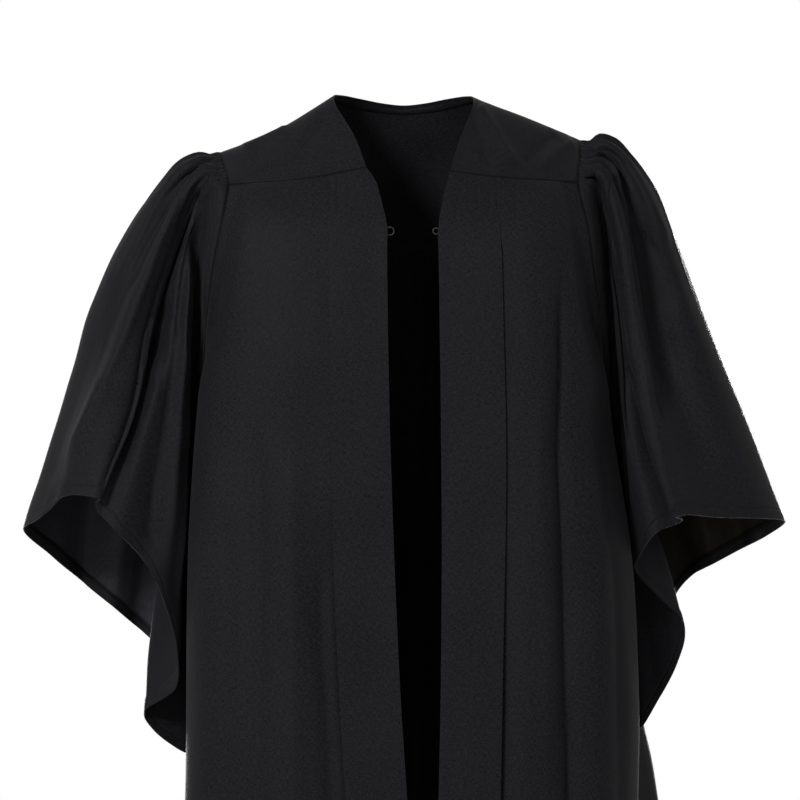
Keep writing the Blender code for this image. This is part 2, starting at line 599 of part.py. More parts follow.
def wire(name, points, finish, collection):
    """A bent round wire with its ends cut square."""
    path = bpy.data.curves.new(name, "CURVE")
    path.dimensions = "3D"
    path.bevel_depth = HOOK_WIRE / 2 * MM
    path.bevel_resolution = 1
    path.use_fill_caps = True
    spline = path.splines.new("POLY")
    spline.points.add(len(points) - 1)
    for target, point in zip(spline.points, points):
        target.co = [value * MM for value in point] + [1]
    path.materials.append(finish)
    piece = bpy.data.objects.new(name, path)
    collection.objects.link(piece)
    return piece


def fastening(name, side, size, finish, collection):
    """A flat open loop of wire that stands out past the front edge at the end of the neck curve."""
    x, y = front_edge(side, FASTENING_Z)
    toward = 1 if side == "right" else -1
    back = y + WALL / 2 + HOOK_WIRE / 2 + FASTENING_GAP
    points = []
    for degrees in range(-150, 151, 30):
        turn = math.radians(degrees)
        out = size * (0.35 + 0.5 * math.cos(turn))
        points.append((x + toward * out, back, FASTENING_Z + size * 0.5 * math.sin(turn)))
    return wire(name, points, finish, collection)


def clear_scene():
    """Remove whatever the file holds at the start."""
    for item in list(bpy.data.objects):
        bpy.data.objects.remove(item, do_unlink=True)


def main():
    clear_scene()
    gown = bpy.data.collections.new("graduation_gown")
    bpy.context.scene.collection.children.link(gown)
    black_cloth = material("black polyester cloth", CLOTH_COLOUR, 0.75)
    black_metal = material("black lacquered wire", METAL_COLOUR, 0.4)
    cloth("yoke", yoke_grid(), black_cloth, gown)
    cloth("back", back_grid(), black_cloth, gown)
    for side in ("left", "right"):
        cloth("front_" + side, front_grid(side), black_cloth, gown)
        cloth("front_band_" + side, band_grid(side), black_cloth, gown)
        cloth("sleeve_" + side, sleeve_grid(side), black_cloth, gown, closed=True)
    fastening("neck_hook", "right", HOOK_SIZE, black_metal, gown)
    fastening("neck_eye", "left", EYE_SIZE, black_metal, gown)


if __name__ == "__main__":
    main()
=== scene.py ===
"""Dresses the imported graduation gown: black polyester cloth, worn open at the front and hollow.

Metres, +Z up, the front faces -Y, and the wearer's left is +X. Tables are in millimetres, as in the
part's source, and MM turns them to metres.
"""

import math

import bpy
import numpy as np
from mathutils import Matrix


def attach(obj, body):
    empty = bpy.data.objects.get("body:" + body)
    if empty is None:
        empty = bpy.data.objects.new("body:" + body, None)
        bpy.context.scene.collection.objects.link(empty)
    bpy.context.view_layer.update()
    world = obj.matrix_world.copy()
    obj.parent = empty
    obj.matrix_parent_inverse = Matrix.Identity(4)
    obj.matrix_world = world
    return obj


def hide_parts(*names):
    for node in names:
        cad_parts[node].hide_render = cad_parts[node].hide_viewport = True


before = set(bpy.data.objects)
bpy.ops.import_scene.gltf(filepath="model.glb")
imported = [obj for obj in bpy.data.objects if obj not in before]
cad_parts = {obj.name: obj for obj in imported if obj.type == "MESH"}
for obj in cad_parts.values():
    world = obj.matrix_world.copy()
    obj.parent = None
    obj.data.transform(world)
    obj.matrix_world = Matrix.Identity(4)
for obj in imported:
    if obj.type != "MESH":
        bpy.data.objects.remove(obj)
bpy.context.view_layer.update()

bl_info = {
    "name": "Graduation gown",
    "version": (1, 0, 0),
    "blender": (4, 5, 0),
    "location": "3D View > Sidebar > Gown",
    "description": "Cloth, seams, hems and studio for a black graduation gown",
    "category": "Object",
}

MM = 0.001

# Driving dimensions, in millimetres, as in the part's source
LENGTH = 1180            # neck point to hem
SEAM = 0.25              # each piece stops this far short of its seam line
CAP_GATHERS = 7          # on the front of a sleeve cap, and as many on its back
CAP_GATHER_HEIGHT = 2.1
YOKE_GATHERS = 18        # along the back yoke seam
BACK_GATHER_HEIGHT = 2.2
BACK_FLUTES = 9          # folds at the hem of the back
FLUTE_TOP = 1.5          # how far a flute stands out below the yoke
FLUTE_HEM = 21.5         # and near the hem
PANEL_WIDTH = 140        # of a front panel, from the band line to the side fold
QUARTER = 0.52           # where the back's quarter lines run, as a share of its half width

# The seam between body and sleeve, from the shoulder tip down the front to the underarm and up the
# back. right and left are the places of the seam on each side, and lead is the way the cloth runs
# outwards across it.
ARMHOLE = (
    # name              right (x, y, z)     left (x, y, z)     lead (out, y, z)
    ("shoulder tip",    (-183, 5, -54),     (176, 5, -42),     (0.93, 0.00, -0.37)),
    ("cap front",       (-179, -30, -71),   (174, -30, -64),   (0.91, -0.22, -0.35)),
    ("yoke corner",     (-173, -58, -90),   (171, -58, -88),   (0.92, -0.20, -0.34)),
    ("chest",           (-179, -66, -128),  (180, -66, -130),  (0.90, 0.35, -0.25)),
    ("mid front",       (-188, -62, -176),  (187, -62, -179),  (0.78, 0.60, -0.15)),
    ("low front",       (-195, -48, -238),  (195, -48, -242),  (0.66, 0.74, -0.10)),
    ("under front",     (-197, -22, -291),  (198, -22, -292),  (0.80, 0.52, -0.30)),
    ("underarm",        (-190, 12, -320),   (192, 12, -320),   (0.97, 0.00, -0.24)),
    ("under back",      (-190, 46, -300),   (190, 46, -300),   (0.80, -0.56, -0.22)),
    ("mid back",        (-187, 74, -250),   (188, 74, -250),   (0.62, -0.78, 0.00)),
    ("shoulder blade",  (-184, 91, -190),   (184, 91, -190),   (0.80, -0.60, 0.00)),
    ("back corner",     (-180, 90, -135),   (179, 90, -133),   (0.96, -0.10, -0.25)),
    ("cap back",        (-182, 52, -84),    (178, 52, -78),    (0.92, 0.16, -0.36)),
)
UNDERARM = 7             # row of ARMHOLE
YOKE_CORNER = 2
BACK_CORNER = 11

# The yoke from its front seam over the shoulder to the middle of the back.
YOKE_STATIONS = (
    # name           armhole  neck right       middle right      neck left       middle left
    ("front seam",   2.0,     (-37, -72, -74), (-97, -72, -85),  (45, -74, -78), (106, -73, -85)),
    ("collarbone",   1.4,     (-48, -45, -44), (-112, -45, -59), (54, -48, -48), (113, -48, -57)),
    ("shoulder",     0.0,     (-71, 0, 0),     (-127, 3, -33),   (70, 0, -2),    (124, 3, -20)),
    ("behind",       12.0,    (-62, 42, 6),    (-122, 48, -38),  (62, 42, 5),    (121, 48, -32)),
    ("blade",        11.0,    (-42, 66, 4),    (-108, 83, -58),  (42, 66, 4),    (108, 83, -55)),
)
YOKE_BACK = (
    # name             neck              middle             back seam
    ("back quarter",   (22, 77, 1),      (55, 99, -66),     (92, 110, -136)),
    ("back middle",    (0, 80, -1),      (0, 104, -69),     (0, 118, -137)),
)

# Level sections of a front panel: the front edge, the line where the band ends, how far the cloth
# stands forward there, the outer fold and the side seam. The first rows end on the armhole.
FRONT = {
    # z      edge x  band x  forward  fold x  fold y  side x  side y
    "left": (
        (-83,    45,     94,     -73,     158,    -61,    None,   None),
        (-128,   33.5,   93,     -100,    169,    -72,    None,   None),
        (-178,   34,     94,     -113,    179,    -68,    None,   None),
        (-240,   34.6,   95,     -122,    190,    -60,    None,   None),
        (-291,   35.4,   96,     -125,    201,    -55,    None,   None),
        (-320,   35.6,   96.5,   -126,    204,    -56,    None,   None),
        (-420,   36.5,   96,     -128,    220,    -58,    196,    14),
        (-560,   36,     91.5,   -131,    231,    -60,    204,    12),
        (-700,   33,     88.4,   -135,    230,    -62,    206,    12),
        (-940,   31,     82,     -142,    238,    -66,    214,    14),
        (-1180,  30,     76,     -150,    250,    -70,    226,    18),
    ),
    "right": (
        (-84,    -37,    -75.5,  -72,     -160,   -61,    None,   None),
        (-128,   -17.5,  -74,    -100,    -169,   -72,    None,   None),
        (-176,   -16.6,  -73.2,  -113,    -180,   -68,    None,   None),
        (-238,   -15.8,  -72.5,  -122,    -190,   -60,    None,   None),
        (-291,   -14.8,  -71.7,  -125,    -201,   -55,    None,   None),
        (-320,   -14.2,  -71.2,  -126,    -204,   -56,    None,   None),
        (-420,   -11,    -69,    -128,    -211,   -58,    -188,   14),
        (-560,   -5.5,   -60.5,  -131,    -214,   -60,    -190,   14),
        (-700,   3.5,    -51.5,  -135,    -216,   -62,    -194,   14),
        (-940,   9,      -42,    -142,    -232,   -66,    -206,   16),
        (-1180,  12,     -34,    -150,    -250,   -70,    -220,   18),
    ),
}
# Extra sections of the curved top of the front edge, between the yoke and the straight edge
NECK_CURVE = {
    # z    x    forward
    "left": ((-78, 45, -74), (-102, 38.8, -90), (-133, 33, -104)),
    "right": ((-74, -37, -72), (-89, -27.4, -82), (-114, -20.5, -95), (-134, -16.6, -104)),
}

# The band stands on the panel's edge: how far the panel's edge drops behind it, and how far the
# band reaches over it.
BAND_STEP = {
    # z      step  lap
    "left": (
        (-84,    0.0,  0.0),
        (-132,   0.5,  0.0),
        (-160,   2.4,  1.0),
        (-430,   3.2,  2.0),
        (-600,   8.0,  4.0),
        (-1180,  9.0,  5.0),
    ),
    "right": (
        (-84,    0.0,  0.0),
        (-150,   0.3,  0.0),
        (-410,   0.7,  0.0),
        (-460,   3.2,  1.5),
        (-600,   6.0,  4.0),
        (-1180,  7.0,  5.0),
    ),
}
STEP_WIDTH = 16          # how far into the panel its edge is pressed back

# Level sections of the back, from the yoke's back seam to the hem
BACK_SECTIONS = (
    # z      fold right (x, y)   fold left (x, y)   quarter y  middle y
    (-136,   (-168, 95),         (167, 95),         111,       118),
    (-190,   (-179, 102),        (179, 102),        124,       130),
    (-250,   (-187, 96),         (188, 96),         131,       138),
    (-300,   (-193, 84),         (194, 84),         134,       142),
    (-320,   (-195, 80),         (196, 80),         135,       143),
    (-420,   (-198, 80),         (210, 80),         138,       147),
    (-560,   (-203, 84),         (228, 84),         144,       155),
    (-700,   (-214, 92),         (256, 92),         153,       166),
    (-940,   (-256, 110),        (280, 110),        172,       188),
    (-1180,  (-296, 128),        (306, 128),        192,       212),
)

# Soft standing folds of the front panels: deep is how far the cloth falls back along the fold.
FRONT_FOLDS = (
    # side     across  across at hem  from z  to z    deep  half width
    ("left",   0.60,   0.62,          -170,   -1300,  7.0,  17),
    ("left",   0.28,   0.24,          -330,   -1300,  3.0,  15),
    ("left",   0.86,   0.80,          -420,   -1300,  5.0,  14),
    ("right",  0.50,   0.46,          -240,   -1300,  3.5,  20),
    ("right",  0.80,   0.74,          -420,   -1300,  5.0,  16),
    ("right",  0.20,   0.24,          -620,   -1300,  5.0,  15),
)

# Folds of a sleeve, in order round the armhole: its name, its place on the armhole as a row of
# ARMHOLE, and where its line is at the cap, the upper arm, the elbow, the forearm and the hem.
SLEEVES = {
    "right": (
        ("outer ridge", 0.0, (-207, 5, -57), (-252, 5, -98), (-300, 0, -178),
         (-344, 0, -314), (-380, 0, -431)),
        ("upper fold", 0.5, (-197, -18, -65), (-239, -24, -102), (-279, -32, -171),
         (-321, -40, -307), (-360, -38, -418)),
        ("upper hollow", 0.85, (-198, -22, -70), (-229, -28, -107), (-270, -42, -189),
         (-311, -54, -305), (-349, -50, -409)),
        ("front ridge", 1.15, (-197, -36, -76), (-227, -50, -119), (-261, -64, -208),
         (-299, -76, -304), (-336, -66, -397)),
        ("crease edge", 1.45, (-195, -44, -83), (-220, -48, -130), (-248, -60, -216),
         (-262, -76, -304), (-297, -88, -398)),
        ("crease tuck", 1.65, (-194, -36, -88), (-217, -26, -135), (-245, -30, -221),
         (-268, -40, -312), (-302, -58, -406)),
        ("inner crest", 1.95, (-192, -46, -96), (-214, -42, -144), (-224, -56, -225),
         (-234, -66, -317), (-256, -64, -459)),
        ("inner hollow", 2.2, (-191, -46, -106), (-208, -28, -150), (-216, -42, -232),
         (-220, -42, -332), (-230, -46, -512)),
        ("arm valley", 2.8, (-189, -53, -127), (-203, -27, -172), (-211, -33, -225),
         (-215, -36, -360), (-221, -36, -585)),
        ("valley side", 3.8, (-196, -47, -174), (-204, -24, -203), (-211, -26, -257),
         (-214, -28, -390), (-231, -26, -593)),
        ("tuck side", 4.7, (-201, -38, -226), (-206, -21, -248), (-211, -19, -318),
         (-220, -18, -420), (-242, -16, -601)),
        ("tuck front", 5.4, (-204, -24, -268), (-208, -15, -286), (-213, -12, -350),
         (-233, -8, -450), (-253, -7, -607)),
        ("tuck edge", 6.0, (-205, -10, -296), (-209, -3, -320), (-222, 3, -398),
         (-252, 3, -477), (-265, 3, -614)),
        ("underarm", 7.0, (-203, 14, -338), (-205, 20, -378), (-205, 24, -448),
         (-212, 28, -544), (-216, 32, -662)),
        ("back lower", 8.4, (-196, 58, -296), (-204, 72, -343), (-216, 82, -415),
         (-229, 90, -497), (-238, 92, -567)),
        ("back crest", 9.8, (-198, 91, -212), (-212, 104, -263), (-233, 110, -345),
         (-257, 114, -441), (-272, 114, -539)),
        ("back hollow", 11.0, (-198, 92, -148), (-220, 92, -189), (-250, 86, -276),
         (-281, 88, -384), (-299, 88, -513)),
        ("back ridge", 11.7, (-200, 74, -108), (-235, 96, -136), (-274, 104, -220),
         (-313, 104, -343), (-331, 98, -488)),
        ("back upper", 12.4, (-201, 42, -74), (-242, 58, -113), (-285, 58, -200),
         (-329, 54, -322), (-357, 48, -460)),
    ),
    "left": (
        ("outer ridge", 0.0, (196, 8, -38), (239, 8, -71), (280, 4, -167),
         (334, 0, -305), (381, 0, -423)),
        ("upper fold", 0.5, (199, -14, -50), (233, -22, -85), (268, -30, -173),
         (317, -36, -310), (358, -36, -419)),
        ("upper hollow", 0.85, (197, -22, -60), (224, -28, -114), (244, -36, -221),
         (276, -52, -327), (306, -62, -417)),
        ("front ridge", 1.15, (193, -36, -67), (214, -54, -119), (231, -66, -222),
         (250, -78, -326), (275, -84, -414)),
        ("crease edge", 1.45, (190, -44, -74), (209, -50, -127), (223, -64, -225),
         (237, -78, -334), (266, -92, -415)),
        ("crease tuck", 1.65, (188, -38, -81), (207, -41, -131), (220, -54, -233),
         (240, -52, -343), (271, -64, -422)),
        ("inner crest", 1.95, (187, -44, -89), (204, -36, -138), (217, -46, -235),
         (225, -54, -343), (247, -66, -432)),
        ("inner hollow", 2.2, (187, -46, -102), (200, -29, -146), (213, -39, -237),
         (219, -44, -347), (231, -48, -458)),
        ("arm valley", 2.8, (190, -53, -129), (200, -27, -172), (210, -32, -225),
         (215, -36, -350), (225, -34, -467)),
        ("valley side", 3.8, (196, -47, -176), (203, -24, -203), (210, -26, -255),
         (219, -28, -370), (239, -26, -484)),
        ("tuck side", 4.7, (201, -38, -228), (205, -21, -248), (211, -19, -318),
         (229, -18, -390), (255, -16, -500)),
        ("tuck front", 5.4, (203, -24, -268), (208, -14, -289), (213, -12, -350),
         (244, -8, -415), (271, -7, -515)),
        ("tuck edge", 6.0, (205, -10, -297), (209, -3, -320), (231, 3, -390),
         (260, 3, -447), (287, 3, -529)),
        ("tuck return", 6.5, (205, 2, -323), (209, 9, -358), (222, 13, -424),
         (245, 14, -503), (272, 14, -579)),
        ("underarm", 7.0, (205, 14, -338), (209, 19, -378), (211, 20, -448),
         (225, 20, -533), (233, 18, -638)),
        ("back lower", 8.4, (198, 58, -296), (208, 72, -343), (223, 80, -404),
         (242, 82, -476), (258, 78, -541)),
        ("back crest", 9.8, (200, 91, -212), (216, 104, -261), (239, 110, -333),
         (264, 112, -405), (295, 108, -484)),
        ("back hollow", 11.0, (199, 92, -146), (223, 92, -184), (252, 86, -261),
         (285, 86, -353), (318, 84, -469)),
        ("back ridge", 11.7, (201, 74, -98), (241, 96, -123), (272, 102, -220),
         (311, 100, -333), (347, 90, -454)),
        ("back upper", 12.4, (200, 42, -58), (245, 58, -95), (281, 58, -190),
         (325, 54, -317), (367, 48, -440)),
    ),
}
LEAD = 7                 # length of sleeve that runs on in line with the body cloth
UNDERARM_EASE = 0.4      # extra clearance where three pieces meet at the underarm
INNER_SOFTENING = 2      # rounds of smoothing where the sleeve turns in beside the body
SLEEVE_LEVELS = (0.0, 0.035, 0.13, 0.32, 0.55, 0.79, 1.0)   # seam, lead, then the table's columns

# Where each mesh is cut into rows and columns
SLEEVE_ROWS = (0, 0.035, 0.07, 0.12, 0.18, 0.26, 0.36, 0.48, 0.60, 0.72, 0.83, 0.92, 1.0)
SLEEVE_COLUMNS = ((0, 2, 26), (2, 7, 15), (7, 11, 8), (11, 13, 26))     # from, to, how many
FRONT_COLUMNS = 13
FRONT_ROWS = tuple(step / 3 for step in range(16)) + (5.5, 6, 6.6, 7.3, 8, 9, 10)
BACK_COLUMNS = 65
BACK_ROWS = tuple(step / 2 for step in range(9)) + (5, 6, 7, 8, 9)
YOKE_ROWS = 6
YOKE_COLUMNS = (4, 6, 8, 8, 3, 3)        # between one station and the next, front to middle back

SLEEVE_DENSER = 2.4      # how much closer the columns are on the front half of a sleeve
FRONT_HALF = (6.4, 12)   # the places on the armhole that are not on that half
TURN_GAP = 1.0           # how far behind the cloth a turned edge lies
SMALL_GATHERS = 5.2      # for each row of ARMHOLE, close to the yoke's end
SMALL_GATHER_HEIGHT = 0.9
WAVES = 14               # in the low unevenness of a piece
CREASE_ANGLE = 50        # degrees; faces that meet more sharply keep a crisp edge
WHOLE_EDGE = 2000        # longer than any edge, for a row of stitches that runs all along it
HEM_ROW = 1.5            # from the turned edge of a hem to its row of stitches

# How each piece is dressed. outward turns its grid's normals outwards; spacing is how far apart the
# points of its fine sheet are; waves are the width, height and upright stretch of its low
# unevenness; turned is how deep its top, hem, first and last edges are turned in, where None is the
# depth of a hem; sewn gives rows of stitches beside those of a hem, and seams the edges joined to
# another piece, whose fold is sunk and darkened with painted shade.
PIECES = {
    "yoke": dict(
        label="Yoke", outward=-1, spacing=3.0, seed=3, waves=(70, 0.35, 1), turned=(9, 8, 8, 8),
        sewn={"top": ((3.0, WHOLE_EDGE),)}, seams=("hem", "first", "last"),
        flat=(0.62, 0.22), area=0.098, rests_on=("back",)),
    "back": dict(
        label="Back", outward=-1, spacing=5.0, seed=5, waves=(120, 1.2, 4), turned=(8, None, 0, 0),
        sewn={}, seams=("top", "first", "last"), flat=(0.98, 1.08), area=0.87, rests_on=("yoke",)),
    "front_left": dict(
        label="Front left", outward=1, spacing=3.8, seed=8, waves=(110, 0.5, 4),
        turned=(8, None, 8, 0), sewn={}, seams=("top", "last"),
        flat=(0.29, 1.12), area=0.275, rests_on=("yoke",)),
    "front_right": dict(
        label="Front right", outward=-1, spacing=3.8, seed=6, waves=(110, 0.5, 4),
        turned=(8, None, 8, 0), sewn={}, seams=("top", "last"),
        flat=(0.32, 1.12), area=0.30, rests_on=("yoke",)),
    "front_band_left": dict(
        label="Band left", outward=1, spacing=3.6, seed=12, waves=(90, 0.3, 5),
        turned=(6, None, 30, 6), sewn={"last": ((2.2, 42), (9.5, 42))}, seams=("top",),
        flat=(0.105, 1.13), area=0.108, rests_on=("yoke",)),
    "front_band_right": dict(
        label="Band right", outward=-1, spacing=3.6, seed=10, waves=(90, 0.3, 5),
        turned=(6, None, 30, 6), sewn={"last": ((2.2, 42), (9.5, 42))}, seams=("top",),
        flat=(0.105, 1.13), area=0.108, rests_on=("yoke",)),
    "sleeve_left": dict(
        label="Sleeve left", outward=-1, spacing=3.7, seed=16, waves=(100, 0.7, 2.5),
        turned=(8, None, 0, 0), sewn={}, seams=("top",),
        flat=(0.9, 0.64), area=0.25, rests_on=("yoke",)),
    "sleeve_right": dict(
        label="Sleeve right", outward=1, spacing=3.7, seed=18, waves=(100, 0.7, 2.5),
        turned=(8, None, 0, 0), sewn={}, seams=("top",),
        flat=(0.9, 0.64), area=0.25, rests_on=("yoke",)),
}

# Folds that run out of gathers: between which places along the seam, and the least and most of the
# gap between them, of how far they stand out and of how far they run down
GATHER_FOLDS = {
    "back": ((0.03, 0.97), (0.016, 0.05), (0.8, 3.4), (160, 1100)),
    "sleeve_left": ((-1.95, 2.05), (0.16, 0.4), (0.5, 1.7), (90, 360)),
    "sleeve_right": ((-1.95, 2.05), (0.16, 0.4), (0.5, 1.7), (90, 360)),
}

# The two colours painted on a sleeve's inside as painted light, for the light that comes through
# the single cloth at its back and not through its doubled hem. The left sleeve's inside is painted
# darker, as painted shade for the shade it hangs in, and a little brown, as a painted reflection.
PAINTED_INSIDE_LIGHT = {"left": ("#050504", "#15130e"), "right": ("#080809", "#212125")}

# Lights of the studio, all aimed at one place, with the setting that gives their power
AIM = (0, 0, -0.35)
LIGHTS = (
    # name           place              size  setting       share
    ("Key",          (-1.7, -2.8, 1.2),  0.8, "key_power",  1),
    ("Fill",         (1.9, -2.3, 1.2),   0.9, "fill_power", 1),
    ("Low fill",     (-1.0, -3.0, -0.9), 0.9, "low_power",  1),
    ("Back key",     (0.9, 3.1, -0.2),   0.9, "back_power", 1),
    ("Back fill",    (-1.2, 3.0, -0.7),  0.9, "back_power", 0.25),
    ("Side left",    (3.3, 0.1, 0.2),    0.9, "side_power", 1),
    ("Side right",   (-3.3, 0.1, 0.2),   0.9, "side_power", 1),
)
FLOOR_RADIUS = 2.6

# Where the cloth of a sleeve is drawn forward and aside, from the first place on the armhole to the
# last; it starts and ends at these distances down the sleeve.
PUSHES = (
    # piece           start  full  still  end    forward  aside  above  below
    ("sleeve_right",  1.95,  2.2,  2.55,  2.82,  13,      6,     60,    430),
    ("sleeve_right",  1.6,   1.68, 1.78,  1.95,  22,      0,     190,   900),
    ("sleeve_left",   1.95,  2.2,  2.4,   2.8,   8,       0,     60,    330),
)

# The photographer's place, as x, y and z, from which the fold lines below are seen
EYE = (-4, -3500, -302)
SEEN_HALF = 400          # half of what the photo shows across, at the gown

